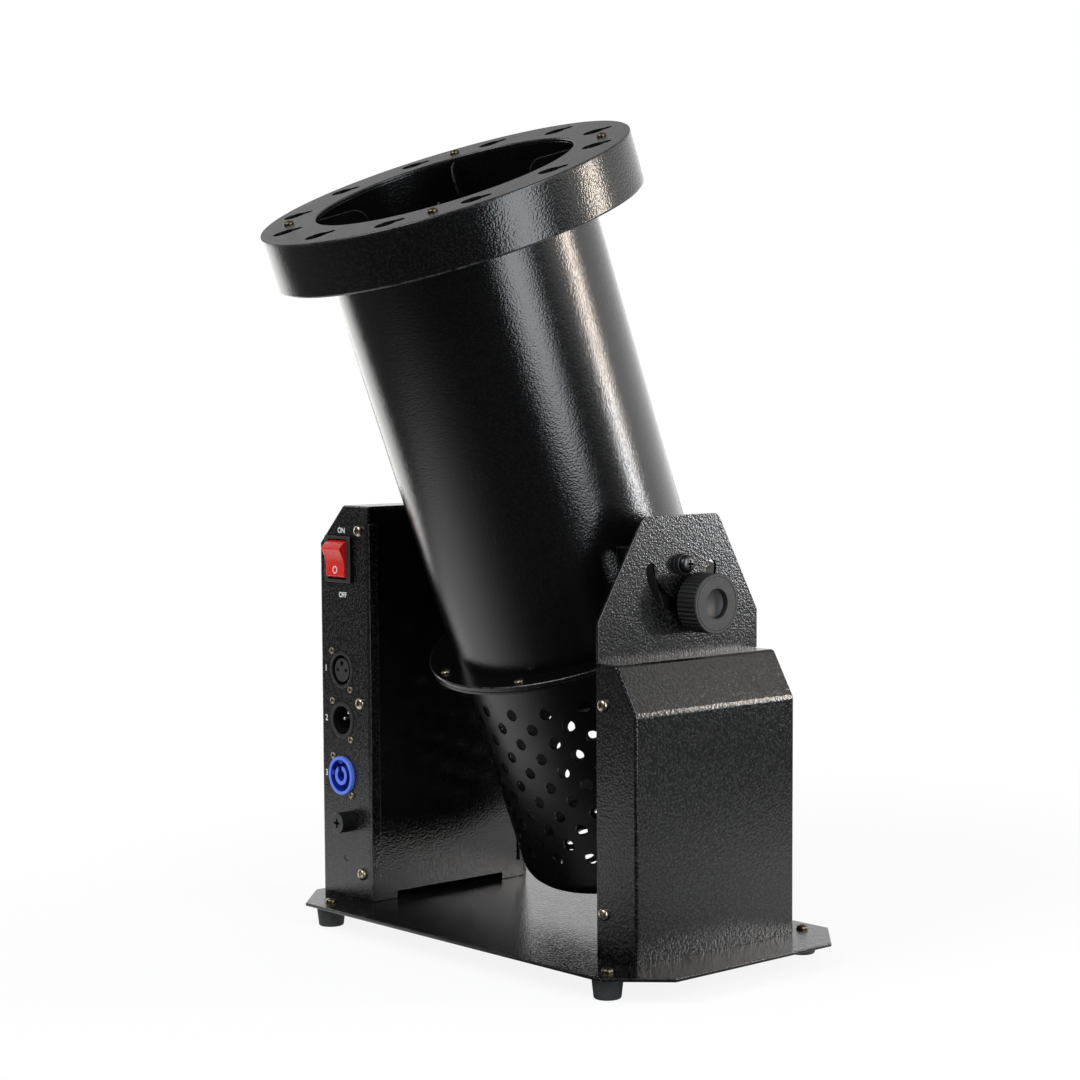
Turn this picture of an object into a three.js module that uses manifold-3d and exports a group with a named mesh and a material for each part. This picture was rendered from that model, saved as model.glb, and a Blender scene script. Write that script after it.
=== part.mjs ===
// Confetti blower: a fan tube that tilts between two sheet steel columns on a base plate.
// Millimetres. X runs from left to right, Y from front to back, Z up.
// The origin is the centre of the base plate's underside, and the feet reach below it.

import * as THREE from 'three';
import { mergeVertices } from 'three/addons/utils/BufferGeometryUtils.js';
import Module from 'manifold-3d';

const wasm = await Module();
wasm.setup();

// Clearances and the overrun of every cut
const seatGap = 0.1;         // between faces that rest on each other on the stand
const turnedGap = 0.3;       // the same inside the tilted barrel, and round pins and shafts
const cutOverrun = 3;
const weldDistance = 0.0001; // vertices closer than this are one

// Base plate, feet and the bolts that hold them
const baseMarginLeft = 7.5;  // from the control column to the plate's edge
const baseMarginRight = 33.4; // from the arm's cover to the plate's edge
const baseMarginFront = 31.05; // from the columns to the plate's edge
const baseMarginBack = 27.05;
const plateThickness = 2;
const baseCornerCut = 30;
const footInsetX = 39;       // from the plate's side edge to a foot's centre
const footInsetY = 13.75;    // from its front or back edge
const footHeight = 13;
const footRadius = 9.2;
const footSoleRadius = 6.4;
const footSoleRound = 1.6;
const footBoltShankRadius = 2.5;
const footBoltLength = 9;

// Pan head screws
const panHeadRadius = 3.8;
const panHeadHeight = 2.6;
const panShankRadius = 2;
const panShankLength = 7;
const recessWidth = 0.9;
const recessDepth = 1;
const recessShare = 0.58;    // length of the cross recess as a share of the head's diameter

// The two columns
const columnHeight = 254.2;  // above the plate
const columnDepth = 130.4;
const uprightThickness = 2;
const coverThickness = 1.5;
const lipWidth = 14;         // edges of the uprights, folded outwards
const footTabLength = 19.5;
const footNotchHeight = 4.5; // between the two foot tabs

// Control column, on the left
const controlWidth = 51.5;
const controlCornerCut = 24.5;
const coverLipDepth = 7;
const coverLipInset = 11;    // the lip starts this far from the column's top and foot
const controlScrewInset = 9; // from the barrel side of the column
const controlScrewLow = 17;    // above the plate
const controlScrewDrop = 15.9; // from the column's top to the upper screw

// Rocker switch
const controlsInset = 29.2;  // from the barrel side of the column to the switch and sockets
const bezelWidth = 28.5;
const bezelHeight = 30;
const bezelProud = 2.2;
const bezelRim = 1.3;
const bezelDepth = 19;
const switchDrop = 34.6;     // from the column's top
const rockerWidth = 19;
const rockerHalfLength = 11;
const rockerLipReach = 9;    // from the rocker's pin to its raised ends
const rockerWaistReach = 5.6;
const rockerTail = 3;
const rockerPinRadius = 1.5;
const rockerPinLength = 1.6;
const rockerTilt = 12;       // each way from level, in degrees
const rockerPinDepth = 4.6;  // from the bezel's face back to the pin
const rockerClearance = 0.4;
const switchBladeLength = 8;
const switchBladeWidth = 4.8;
const switchBladeThickness = 0.8;
const switchBladePitch = 8;

// Round panel sockets
const socketFlangeWidth = 26;
const socketFlangeHeight = 31;
const socketFlangeThickness = 1.6;
const socketNoseRadius = 12;
const socketNoseProud = 0.6;
const socketHoleClearance = 0.3;
const socketBodyRadius = 11;
const socketBodyLength = 15;
const socketTerminalLength = 5;
const socketTerminalWidth = 2.4;
const outSocketRise = 32.5;  // above the socket with pins
const inSocketRise = 36.1;   // above the power inlet
const powerInletRise = 29.1; // above the fuse
const plugRingRadius = 9.6;  // outer radius of the space for the plug's sleeve
const contactBlockRadius = 7.7;
const contactCircleRadius = 4.3;
const contactHoleRadius = 1.5;
const contactDepth = 7;
const pinCupRadius = 9.2;
const pinCupDepth = 12.4;
const pinRadius = 1.2;
const pinLength = 7.4;
const inletProud = 2.4;
const inletCupRadius = 9.6;
const inletCupDepth = 9;
const inletRingRadius = 7.2;
const inletRingWall = 2;
const inletRingOpening = 4;
const inletCoreRadius = 2.4;

// Fuse, its holder and its cap
const fuseInset = 22;        // from the barrel side of the column
const fuseShare = 0.1967;    // of the column's height
const fuseCollarRadius = 7.2;
const fuseCollarLength = 2.4;
const fuseBodyRadius = 5.9;
const fuseBodyLength = 31;
const fuseNutRadius = 7.6;
const fuseNutLength = 3;
const fuseBoreRadius = 4.2;
const fuseCapRadius = 6.25;
const fuseCapLength = 8.4;
const fuseStemRadius = 3.8;
const fuseStemLength = 10;
const fuseRadius = 2.6;
const fuseLength = 20;
const fuseGrip = 7;          // how deep the stem holds the fuse

// Boards in the control column, on stand-offs
const standOffRadius = 3;
const standOffLength = 7;
const boardInsetY = 8;       // from the column's back
const controlBoardLength = 62;
const controlBoardHeight = 74;
const controlBoardDrop = 29.5; // from the pivot to the board's top edge
const boardThickness = 1.6;
const boardEdge = 6;         // from a board's edge to the middle of a stand-off
const relayLength = 18;
const relayHeight = 15;
const relayReach = 14;
const relayCount = 3;
const relayPitch = 19;
const terminalStripHeight = 10;
const terminalStripReach = 9;
const driverInset = 3.8;     // from the fuse holder's back end
const driverBottom = 14;
const driverGap = 22;        // from its top to the control board
const driverBoxReach = 24;
const finCount = 5;
const finThickness = 2;
const finReach = 7;

// Arm on the right, with its folded cover
const armShoulderRise = 23.6; // of the shoulders above the cover's ledge
const armTopWidth = 61;
const armTopRound = 3;
const armSlotWidth = 8.6;
const armSlotTravel = 83;    // degrees each way from straight down
const armCoverWidth = 33;    // from the arm's barrel side to the cover's outer wall
const armLedgeDrop = 54.2;   // from the pivot down to the ledge
const armLedgeWidth = 16.9;  // from the same side to the ledge's outer edge
const armSlopeDrop = 27.3;   // from the ledge to the slope's foot
const armScrewInset = 6;
const armScrewLow = 26.8;    // above the plate
const armScrewRise = 3.7;    // of the upper screw above the slope's foot

// Pivots
const pivotDrop = 28.7;      // from the column's top to the pivot
const pivotY = 3.4;
const pivotShankRadius = 4;
const pivotHeadRadius = 5.6;
const pivotHeadHeight = 4.4;
const pivotCollarRadius = 8.7;
const pivotCollarThickness = 2.8;
const innerHeadRadius = 8;
const bushRadius = 6.4;
const bushFlangeRadius = 9.5;
const bushFlangeThickness = 1.2;

// Brackets on the barrel
const bracketHalfWidth = 20;
const bracketThickness = 3;
const bracketTop = 18;       // along the barrel, from the pivot
const bracketBottom = 38;
const bossRadius = 7;
const bossLength = 6;

// Lock knob and its stud
const studReach = 24.8;      // from the pivot down the barrel to the stud
const studRadius = 3.9;
const knobRadius = 17.8;
const knobLength = 18.6;
const knobRibCount = 24;
const knobRibDepth = 0.9;
const knobFaceRound = 1.2;
const knobHubRadius = 11;
const knobHubLength = 2.2;     // keeps the ribbed rim clear of the pivot's collar
const knobDishRadius = 9;
const knobDishDepth = 4;
const lockWasherRadius = 11;
const lockWasherThickness = 1;

// Barrel
const restTilt = 21.4;       // degrees, mouth towards the front
const barrelRadius = 81.5;
const barrelWall = 2;
const barrelSideGap = 25.8;  // from the tube to an upright
const mouthTop = 241.8;      // along the barrel, from the pivot
const flangeTop = 43.6;      // down the barrel, from the pivot
const flangeWidth = 15.6;    // outwards from the tube
const flangeThickness = 3.2;
const flangeRound = 0.9;
const flangeHoleRadius = 2.2;
const flangeHoleReach = 9;   // from the tube to the middle of a screw
const flangeHoleCount = 8;

// Mouth ring and its plate
const mouthWidth = 32;       // from the tube to the ring's outer face
const mouthHeight = 32.1;
const mouthWall = 2;
const mouthPlateThickness = 2;
const mouthHoleEdge = 2.4;   // how far the plate's opening lies inside the tube's outer face
const mouthScrewReach = 14.7; // from the tube to the middle of a screw
const mouthScrewAngle = 45;
const keyholeCount = 12;
const keyholeReach = 15.4;   // from the tube to the middle of a keyhole
const keyholeTurn = 52;      // every keyhole points this way, in degrees from +X
const keyholeLength = 18;
const keyholeHeadRadius = 4.8;
const keyholeNeckWidth = 4.6;

// Vanes inside the mouth
const vaneCount = 4;
const vaneThickness = 2;
const vaneReach = 31.5;      // inwards from the tube's outer face
const vaneDepth = 30;
const vaneCornerRadius = 8;
const vaneNeckHeight = 6;
const vaneEarLength = 22;
const vaneEarHeight = 12;
const vaneTabWidth = 12;

// Perforated intake cage
const cageStep = 2.5;        // from the tube's outer face in to the cage's
const cageWall = 1.5;
const cageLength = 154;
const cageCornerRadius = 12;
const cageFlangeWidth = 14.9; // outwards from the tube
const cageFlangeThickness = 1.8;
const cageColumns = 40;
const cageColumnTurn = -2.3; // degrees from straight to the front
const cageHoleRadius = 3.6;
const cageRowPitch = 20;
const cageFirstRow = 22.7;   // below the cage's flange
const cageLongRows = 6;
const cageShortRows = 5;

// Fan: motor, mount, shaft, bearings and impeller
const mountRimWidth = 5;
const mountThickness = 3;
const mountArmWidth = 12;
const mountHubRadius = 34;
const motorRadius = 42;
const motorWall = 4;
const motorLength = 48;
const motorHeadThickness = 7;
const motorFloorThickness = 2;
const motorChamfer = 4;
const bearingRadius = 11;
const bearingWidth = 6;
const shaftRadius = 4;
const shaftTop = 8;          // how far the shaft stands above the impeller
const rotorRadius = 28;
const rotorInset = 8;        // from the bearings to the rotor's core
const impellerHubRadius = 28;
const impellerHeight = 28;
const bladeCount = 7;
const bladeThickness = 2.4;
const bladePitch = 38;       // degrees from the barrel's axis
const bladeChordShare = 0.94;
const bladeTipGap = 2.4;

// How finely round shapes are faceted
const boreSides = 6;
const screwSides = 8;
const coarseSides = 8;
const footSides = 12;
const innerSides = 12;
const mediumSides = 16;
const fineSides = 40;
const slotSides = 16;

// Places and sizes that follow from the ones above
const plateTop = plateThickness;
const wallReach = barrelRadius + barrelSideGap;
const baseWidth = baseMarginLeft + controlWidth + wallReach * 2 + armCoverWidth + baseMarginRight;
const barrelCentreX = baseMarginLeft + controlWidth + wallReach - baseWidth / 2;
const baseDepth = baseMarginFront + columnDepth + baseMarginBack;
const columnFront = baseMarginFront - baseDepth / 2;
const columnBack = columnFront + columnDepth;
const columnTop = plateTop + columnHeight;
const leftWallX = barrelCentreX - wallReach;
const rightWallX = barrelCentreX + wallReach;
const pivotZ = columnTop - pivotDrop;
const controlsX = leftWallX - controlsInset;
const fuseX = leftWallX - fuseInset;
const fuseZ = plateTop + columnHeight * fuseShare;
const powerInletZ = fuseZ + powerInletRise;
const inSocketZ = powerInletZ + inSocketRise;
const outSocketZ = inSocketZ + outSocketRise;
const switchZ = columnTop - switchDrop;
const ledgeZ = pivotZ - armLedgeDrop;
const slopeZ = ledgeZ - armSlopeDrop;
const armScrewZs = [plateTop + armScrewLow, slopeZ + armScrewRise];
const controlScrewFootZ = plateTop + controlScrewLow;
const controlScrewHeadZ = columnTop - controlScrewDrop;
const backScrewZs = [controlScrewFootZ, controlScrewHeadZ];
const controlScrewZs = [
  controlScrewFootZ, (controlScrewFootZ + controlScrewHeadZ) / 2, controlScrewHeadZ,
];
const flangeRadius = barrelRadius + flangeWidth;
const flangeHoleCircle = barrelRadius + flangeHoleReach;
const mouthRadius = barrelRadius + mouthWidth;
const mouthHoleRadius = barrelRadius - mouthHoleEdge;
const mouthScrewCircle = barrelRadius + mouthScrewReach;
const keyholeCircle = barrelRadius + keyholeReach;
const vaneInnerRadius = barrelRadius - vaneReach;
const cageRadius = barrelRadius - cageStep;
const cageFlangeRadius = barrelRadius + cageFlangeWidth;
const uprightFront = columnFront + coverThickness + seatGap;
const uprightBack = columnBack - coverThickness - seatGap;

const toRadians = THREE.MathUtils.degToRad;
const fullTurn = Math.PI * 2;

const finishes = {
  powderCoat: { color: 0x17181a, roughness: 0.42, metalness: 0.3 },
  nickel: { color: 0xb9b1a0, roughness: 0.3, metalness: 1 },
  blackPlastic: { color: 0x151517, roughness: 0.55, metalness: 0 },
  knobPlastic: { color: 0x2b2b2d, roughness: 0.7, metalness: 0 },
  redPlastic: { color: 0xc01410, roughness: 0.35, metalness: 0 },
  bluePlastic: { color: 0x2143c8, roughness: 0.4, metalness: 0 },
  rubber: { color: 0x1d1f1f, roughness: 0.9, metalness: 0 },
  boardGreen: { color: 0x1f5a35, roughness: 0.6, metalness: 0 },
  glass: { color: 0xd8e0e0, roughness: 0.1, metalness: 0 },
  steel: { color: 0x8e9092, roughness: 0.35, metalness: 1 },
};

// Turns a closed three.js geometry into a solid, with its faces pointing out
function solid(geometry) {
  const bare = new THREE.BufferGeometry();
  bare.setAttribute('position', geometry.getAttribute('position').clone());
  if (geometry.index) bare.setIndex(geometry.index.clone());
  const welded = mergeVertices(bare, weldDistance);
  const points = welded.getAttribute('position');
  const corners = [];
  let volume = 0;
  for (let i = 0; i < welded.index.count; i += 3) {
    const [a, b, c] = [0, 1, 2].map((k) => welded.index.getX(i + k));
    if (a === b || b === c || c === a) continue;
    const [p, q, r] = [a, b, c].map((k) => new THREE.Vector3().fromBufferAttribute(points, k));
    volume += p.dot(q.cross(r));
    corners.push(a, b, c);
  }
  if (volume < 0) corners.reverse();
  return new wasm.Manifold(new wasm.Mesh({
    numProp: 3,
    vertProperties: new Float32Array(points.array),
    triVerts: new Uint32Array(corners),
  }));
}

function geometryOf(shape) {
  const mesh = shape.getMesh();
  const geometry = new THREE.BufferGeometry();
  geometry.setAttribute('position', new THREE.BufferAttribute(mesh.vertProperties, 3));
  geometry.setIndex(new THREE.BufferAttribute(mesh.triVerts, 1));
  return geometry.toNonIndexed();
}

function join(...shapes) {
  return shapes.reduce((whole, next) => whole.add(next));
}

function cut(shape, ...tools) {
  return tools.reduce((rest, tool) => rest.subtract(tool), shape);
}

function placed(geometry, x, y, z) {
  geometry.translate(x, y, z);
  return solid(geometry);
}

// A box between two corners, given in any order
function box(x0, x1, y0, y1, z0, z1) {
  const size = [x1 - x0, y1 - y0, z1 - z0].map(Math.abs);
  return placed(new THREE.BoxGeometry(...size), (x0 + x1) / 2, (y0 + y1) / 2, (z0 + z1) / 2);
}

// A round bar along one axis; the centre gives the other two coordinates in order
function bar(axis, radius, from, to, centre, sides = coarseSides) {
  const geometry = new THREE.CylinderGeometry(radius, radius, Math.abs(to - from), sides);
  const middle = (from + to) / 2;
  const [p, q] = centre;
  if (axis === 'x') return placed(geometry.rotateZ(Math.PI / 2), middle, p, q);
  if (axis === 'y') return placed(geometry, p, middle, q);
  return placed(geometry.rotateX(Math.PI / 2), p, q, middle);
}

// A closed profile of [radius, height] points turned round the Z axis
function turned(profile, sides = coarseSides) {
  const points = profile.map(([radius, height]) => new THREE.Vector2(radius, height));
  return solid(new THREE.LatheGeometry(points, sides).rotateX(Math.PI / 2));
}

// A tube profile that closes on itself, between two radii and two heights
function ringProfile(inner, outer, low, high) {
  return [[inner, low], [outer, low], [outer, high], [inner, high], [inner, low]];
}

function outline(points) {
  return new THREE.Shape(points.map(([x, y]) => new THREE.Vector2(x, y)));
}

const extrudeAxes = {
  x: [new THREE.Vector3(0, 1, 0), new THREE.Vector3(0, 0, 1), new THREE.Vector3(1, 0, 0)],
  y: [new THREE.Vector3(1, 0, 0), new THREE.Vector3(0, 0, 1), new THREE.Vector3(0, -1, 0)],
  z: [new THREE.Vector3(1, 0, 0), new THREE.Vector3(0, 1, 0), new THREE.Vector3(0, 0, 1)],
};

// A flat outline given depth: (y, z) points along x, (x, z) along y, or (x, y) along z
function prism(axis, shape, from, to, curveSegments = coarseSides) {
  const low = Math.min(from, to);
  const high = Math.max(from, to);
  const geometry = new THREE.ExtrudeGeometry(shape, {
    depth: high - low, bevelEnabled: false, curveSegments,
  });
  const frame = new THREE.Matrix4().makeBasis(...extrudeAxes[axis]);
  const start = { x: [low, 0, 0], y: [0, high, 0], z: [0, 0, low] }[axis];
  return placed(geometry.applyMatrix4(frame), ...start);
}

function addPiece(parent, name, shape, finish) {
  const geometry = shape.isBufferGeometry ? shape : geometryOf(shape);
  const mesh = new THREE.Mesh(geometry, new THREE.MeshStandardMaterial(finishes[finish]));
  mesh.name = name;
  parent.add(mesh);
  return mesh;
}

// Places of n things in a ring, as [x, y, angle in radians]
function around(count, radius, firstDegrees) {
  return Array.from({ length: count }, (unused, k) => {
    const angle = toRadians(firstDegrees) + (fullTurn * k) / count;
    return [radius * Math.cos(angle), radius * Math.sin(angle), angle];
  });
}

// A pan head screw that stands on z = 0, its shank pointing down
function panScrew(headRadius, headHeight, shankRadius, shankLength) {
  const crownShare = 0.7;
  const edgeShare = 0.35;
  const body = turned([
    [0, -shankLength], [shankRadius, -shankLength], [shankRadius, 0], [headRadius, 0],
    [headRadius, headHeight * edgeShare], [headRadius * crownShare, headHeight], [0, headHeight],
  ], screwSides);
  const arm = headRadius * recessShare;
  const [low, high] = [headHeight - recessDepth, headHeight + cutOverrun];
  return cut(
    body,
    box(-arm, arm, -recessWidth / 2, recessWidth / 2, low, high),
    box(-recessWidth / 2, recessWidth / 2, -arm, arm, low, high),
  );
}

const stand = new THREE.Group();
const barrel = new THREE.Group();
barrel.position.set(barrelCentreX, pivotY, pivotZ);
barrel.rotation.x = toRadians(restTilt);
stand.add(barrel);

function buildBase() {
  const [x, y, c] = [baseWidth / 2, baseDepth / 2, baseCornerCut];
  const corners = outline([
    [-x + c, -y], [x - c, -y], [x, -y + c], [x, y - c],
    [x - c, y], [-x + c, y], [-x, y - c], [-x, -y + c],
  ]);
  const footX = x - footInsetX;
  const footY = y - footInsetY;
  const places = [[-footX, -footY], [footX, -footY], [footX, footY], [-footX, footY]];
  const holes = places.map((centre) => bar(
    'z', footBoltShankRadius + turnedGap, -cutOverrun, plateTop + cutOverrun, centre,
  ));
  addPiece(stand, 'base_plate', cut(prism('z', corners, 0, plateTop), ...holes), 'powderCoat');

  const boreRadius = footBoltShankRadius + seatGap;
  const boreDepth = footBoltLength + seatGap;
  const footTop = -seatGap;
  places.forEach(([px, py], k) => {
    const foot = turned([
      [0, -footHeight], [footSoleRadius, -footHeight],
      [footSoleRadius + footSoleRound, -footHeight + footSoleRound],
      [footRadius, footTop],
      [boreRadius, footTop], [boreRadius, footTop - boreDepth], [0, footTop - boreDepth],
    ], footSides);
    addPiece(stand, `foot_${k + 1}`, foot, 'rubber').position.set(px, py, 0);
    const bolt = panScrew(
      panHeadRadius, panHeadHeight, footBoltShankRadius, plateTop + seatGap + footBoltLength,
    );
    addPiece(stand, `foot_bolt_${k + 1}`, bolt, 'nickel').position.set(px, py, plateTop + seatGap);
  });
}

// An upright: a wall with folded lips on its front, back and top and two foot tabs.
// side is -1 for the left one and 1 for the right one; its lips point away from the barrel.
function upright(side, wallX, wall) {
  const lipOuter = wallX + side * lipWidth;
  const foot = plateTop + seatGap;
  const tabTop = foot + uprightThickness;
  const lips = [
    box(wallX, lipOuter, uprightFront, uprightFront + uprightThickness, foot, wall.lipTop),
    box(wallX, lipOuter, uprightBack - uprightThickness, uprightBack, foot, wall.lipTop),
    box(wallX, lipOuter, uprightFront, uprightFront + footTabLength, foot, tabTop),
    box(wallX, lipOuter, uprightBack - footTabLength, uprightBack, foot, tabTop),
  ];
  const notch = box(
    wallX - cutOverrun, wallX + cutOverrun, uprightFront + footTabLength,
    uprightBack - footTabLength, plateTop - cutOverrun, plateTop + footNotchHeight,
  );
  return cut(join(wall.solid, ...lips), notch);
}

function screwHoles(x, heights, radius) {
  return heights.map((z) => bar(
    'y', radius, columnFront - cutOverrun, columnBack + cutOverrun, [x, z],
  ));
}

// Cover screws enter from the front or from the back and lie along Y
function addCoverScrews(name, x, heights, fromBack) {
  heights.forEach((z, k) => {
    const screw = panScrew(panHeadRadius, panHeadHeight, panShankRadius, panShankLength);
    const mesh = addPiece(stand, `${name}_${k + 1}`, screw, 'nickel');
    mesh.rotation.x = fromBack ? -Math.PI / 2 : Math.PI / 2;
    const y = fromBack ? columnBack + turnedGap : columnFront - turnedGap;
    mesh.position.set(x, y, z);
  });
}

const shankHoleRadius = panShankRadius + turnedGap;
const controlScrewX = leftWallX - controlScrewInset;
const armScrewX = rightWallX + armScrewInset;

function buildControlColumn() {
  const wallTop = columnTop - coverThickness - seatGap;
  const wallFoot = plateTop + seatGap;
  const outerFace = leftWallX - uprightThickness;
  const wall = {
    lipTop: wallTop,
    solid: join(
      box(outerFace, leftWallX, uprightFront, uprightBack, wallFoot, wallTop),
      box(leftWallX - lipWidth, leftWallX, uprightFront, uprightBack,
        wallTop - uprightThickness, wallTop),
    ),
  };
  const bushHole = bar('x', bushRadius + seatGap, leftWallX - lipWidth, leftWallX + cutOverrun,
    [pivotY, pivotZ], innerSides);
  const holes = screwHoles(controlScrewX, controlScrewZs, shankHoleRadius);
  const shape = cut(upright(-1, leftWallX, wall), bushHole, ...holes);
  addPiece(stand, 'control_upright', shape, 'powderCoat');

  const left = leftWallX - controlWidth;
  const foot = plateTop + seatGap;
  const c = controlCornerCut;
  const t = coverThickness;
  const mitre = t * Math.tan(Math.PI / 8);
  const outer = outline([
    [left, foot], [leftWallX, foot], [leftWallX, columnTop], [left + c, columnTop],
    [left, columnTop - c],
  ]);
  const inner = outline([
    [left + t, foot - cutOverrun], [leftWallX + cutOverrun, foot - cutOverrun],
    [leftWallX + cutOverrun, columnTop - t], [left + c + mitre, columnTop - t],
    [left + t, columnTop - c - mitre],
  ]);
  const [lipLow, lipHigh] = [plateTop + coverLipInset, columnTop - coverLipInset];
  const lipInner = leftWallX + seatGap;
  const lipOuter = lipInner + coverThickness;
  const lips = [[columnFront, 1], [columnBack, -1]].flatMap(([face, inwards]) => [
    box(leftWallX - t, lipOuter, face, face + inwards * t, lipLow, lipHigh),
    box(lipInner, lipOuter, face, face + inwards * coverLipDepth, lipLow, lipHigh),
  ]);
  const shell = join(
    cut(prism('y', outer, columnFront, columnBack),
      prism('y', inner, columnFront + t, columnBack - t)),
    ...lips,
  );
  const [near, far] = [columnFront - cutOverrun, columnFront + t + cutOverrun];
  const socketHole = socketNoseRadius + socketHoleClearance;
  const sockets = [outSocketZ, inSocketZ, powerInletZ].map((z) => bar(
    'y', socketHole, near, far, [controlsX, z], mediumSides,
  ));
  const switchHalfX = bezelWidth / 2 - bezelRim + seatGap;
  const switchHalfZ = bezelHeight / 2 - bezelRim + seatGap;
  const switchHole = box(controlsX - switchHalfX, controlsX + switchHalfX, near, far,
    switchZ - switchHalfZ, switchZ + switchHalfZ);
  const fuseHole = bar('y', fuseBodyRadius + seatGap, near, far,
    [fuseX, fuseZ], mediumSides);
  const frontHoles = controlScrewZs.map((z) => bar(
    'y', shankHoleRadius, near, far, [controlScrewX, z],
  ));
  const backHoles = backScrewZs.map((z) => bar(
    'y', shankHoleRadius, columnBack - t - cutOverrun, columnBack + cutOverrun, [controlScrewX, z],
  ));
  addPiece(stand, 'control_cover',
    cut(shell, ...sockets, switchHole, fuseHole, ...frontHoles, ...backHoles), 'powderCoat');
  addCoverScrews('control_screw_front', controlScrewX, controlScrewZs, false);
  addCoverScrews('control_screw_back', controlScrewX, backScrewZs, true);
}

function buildSwitch() {
  const z = switchZ;
  const face = columnFront - bezelProud;
  const back = columnFront + bezelDepth;
  const [halfX, halfZ] = [bezelWidth / 2, bezelHeight / 2];
  const [bodyX, bodyZ] = [halfX - bezelRim, halfZ - bezelRim];
  const pinY = face + rockerPinDepth;
  const pocketX = rockerWidth / 2 + rockerClearance;
  const pocketZ = bodyZ - coverThickness / 2;
  const pocketBack = pinY + rockerHalfLength;
  const blades = [-switchBladePitch, 0, switchBladePitch].map((offset) => box(
    controlsX - switchBladeWidth / 2, controlsX + switchBladeWidth / 2,
    back - cutOverrun, back + switchBladeLength,
    z + offset - switchBladeThickness / 2, z + offset + switchBladeThickness / 2,
  ));
  const bezel = cut(
    join(
      box(controlsX - halfX, controlsX + halfX, face, columnFront - seatGap, z - halfZ, z + halfZ),
      box(controlsX - bodyX, controlsX + bodyX, face, back, z - bodyZ, z + bodyZ),
      ...blades,
    ),
    box(controlsX - pocketX, controlsX + pocketX, face - cutOverrun, pocketBack,
      z - pocketZ, z + pocketZ),
    bar('x', rockerPinRadius + seatGap, controlsX - rockerWidth / 2 - rockerPinLength - turnedGap,
      controlsX + rockerWidth / 2 + rockerPinLength + turnedGap, [pinY, z], mediumSides),
  );
  addPiece(stand, 'rocker_bezel', bezel, 'blackPlastic');

  const [half, lip] = [rockerHalfLength, rockerLipReach];
  const profile = outline([
    [-lip, half], [-rockerWaistReach, 0], [-lip, -half], [-1, -half],
    [rockerTail, -half / 2], [rockerTail, half / 2], [-1, half],
  ]);
  const pinEnd = rockerWidth / 2 + rockerPinLength;
  const rocker = join(
    prism('x', profile, -rockerWidth / 2, rockerWidth / 2),
    bar('x', rockerPinRadius, -pinEnd, pinEnd, [0, 0], mediumSides),
  );
  const mesh = addPiece(stand, 'rocker', rocker, 'redPlastic');
  mesh.position.set(controlsX, pinY, z);
  mesh.rotation.x = toRadians(rockerTilt);
}

// The common body of a round panel socket, its nose pointing to the front
function socketBody(z, proud) {
  const inside = columnFront + coverThickness + seatGap;
  const flangeBack = inside + socketFlangeThickness;
  const bodyBack = flangeBack + socketBodyLength;
  const terminals = [-1, 0, 1].map((k) => {
    const x = controlsX + k * contactCircleRadius * 1.5;
    return box(x - socketTerminalWidth / 2, x + socketTerminalWidth / 2, bodyBack - cutOverrun,
      bodyBack + socketTerminalLength, z - socketTerminalWidth / 4, z + socketTerminalWidth / 4);
  });
  return join(
    box(controlsX - socketFlangeWidth / 2, controlsX + socketFlangeWidth / 2, inside, flangeBack,
      z - socketFlangeHeight / 2, z + socketFlangeHeight / 2),
    bar('y', socketNoseRadius, columnFront - proud, flangeBack, [controlsX, z], mediumSides),
    bar('y', socketBodyRadius, flangeBack - coverThickness, bodyBack, [controlsX, z], mediumSides),
    ...terminals,
  );
}

// Three contacts: right, top and left of the socket's centre
function contactPlaces(z) {
  return [0, Math.PI / 2, Math.PI].map((angle) => [
    controlsX + contactCircleRadius * Math.cos(angle), z + contactCircleRadius * Math.sin(angle),
  ]);
}

function buildSockets() {
  const outFace = columnFront - socketNoseProud;
  const outBottom = outFace + contactDepth;
  const sleeve = cut(
    bar('y', plugRingRadius, outFace - cutOverrun, outBottom, [controlsX, outSocketZ], mediumSides),
    bar('y', contactBlockRadius, outFace - 2 * cutOverrun, outBottom + cutOverrun,
      [controlsX, outSocketZ], mediumSides),
  );
  const contactHoles = contactPlaces(outSocketZ).map((centre) => bar(
    'y', contactHoleRadius, outFace - cutOverrun, outBottom, centre,
  ));
  addPiece(stand, 'signal_out_socket',
    cut(socketBody(outSocketZ, socketNoseProud), sleeve, ...contactHoles), 'blackPlastic');

  const cupBottom = columnFront - socketNoseProud + pinCupDepth;
  const cup = bar('y', pinCupRadius, columnFront - socketNoseProud - cutOverrun, cupBottom,
    [controlsX, inSocketZ], mediumSides);
  const pins = contactPlaces(inSocketZ).map((centre) => bar(
    'y', pinRadius, cupBottom - pinLength, cupBottom + seatGap, centre,
  ));
  addPiece(stand, 'signal_in_socket',
    join(cut(socketBody(inSocketZ, socketNoseProud), cup), ...pins), 'blackPlastic');

  const powerFace = columnFront - inletProud;
  const powerBottom = powerFace + inletCupDepth;
  const ringFace = powerFace + seatGap;
  const inletCup = bar('y', inletCupRadius, powerFace - cutOverrun, powerBottom,
    [controlsX, powerInletZ], mediumSides);
  const contactRing = cut(
    bar('y', inletRingRadius, ringFace, powerBottom + seatGap, [controlsX, powerInletZ], mediumSides),
    bar('y', inletRingRadius - inletRingWall, ringFace - cutOverrun, powerBottom,
      [controlsX, powerInletZ], mediumSides),
    box(controlsX - inletRingOpening / 2, controlsX + inletRingOpening / 2,
      ringFace - cutOverrun, powerBottom, powerInletZ, powerInletZ + inletCupRadius),
  );
  const core = bar('y', inletCoreRadius, ringFace, powerBottom + seatGap, [controlsX, powerInletZ]);
  addPiece(stand, 'power_inlet',
    join(cut(socketBody(powerInletZ, inletProud), inletCup), contactRing, core), 'bluePlastic');
}

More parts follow.
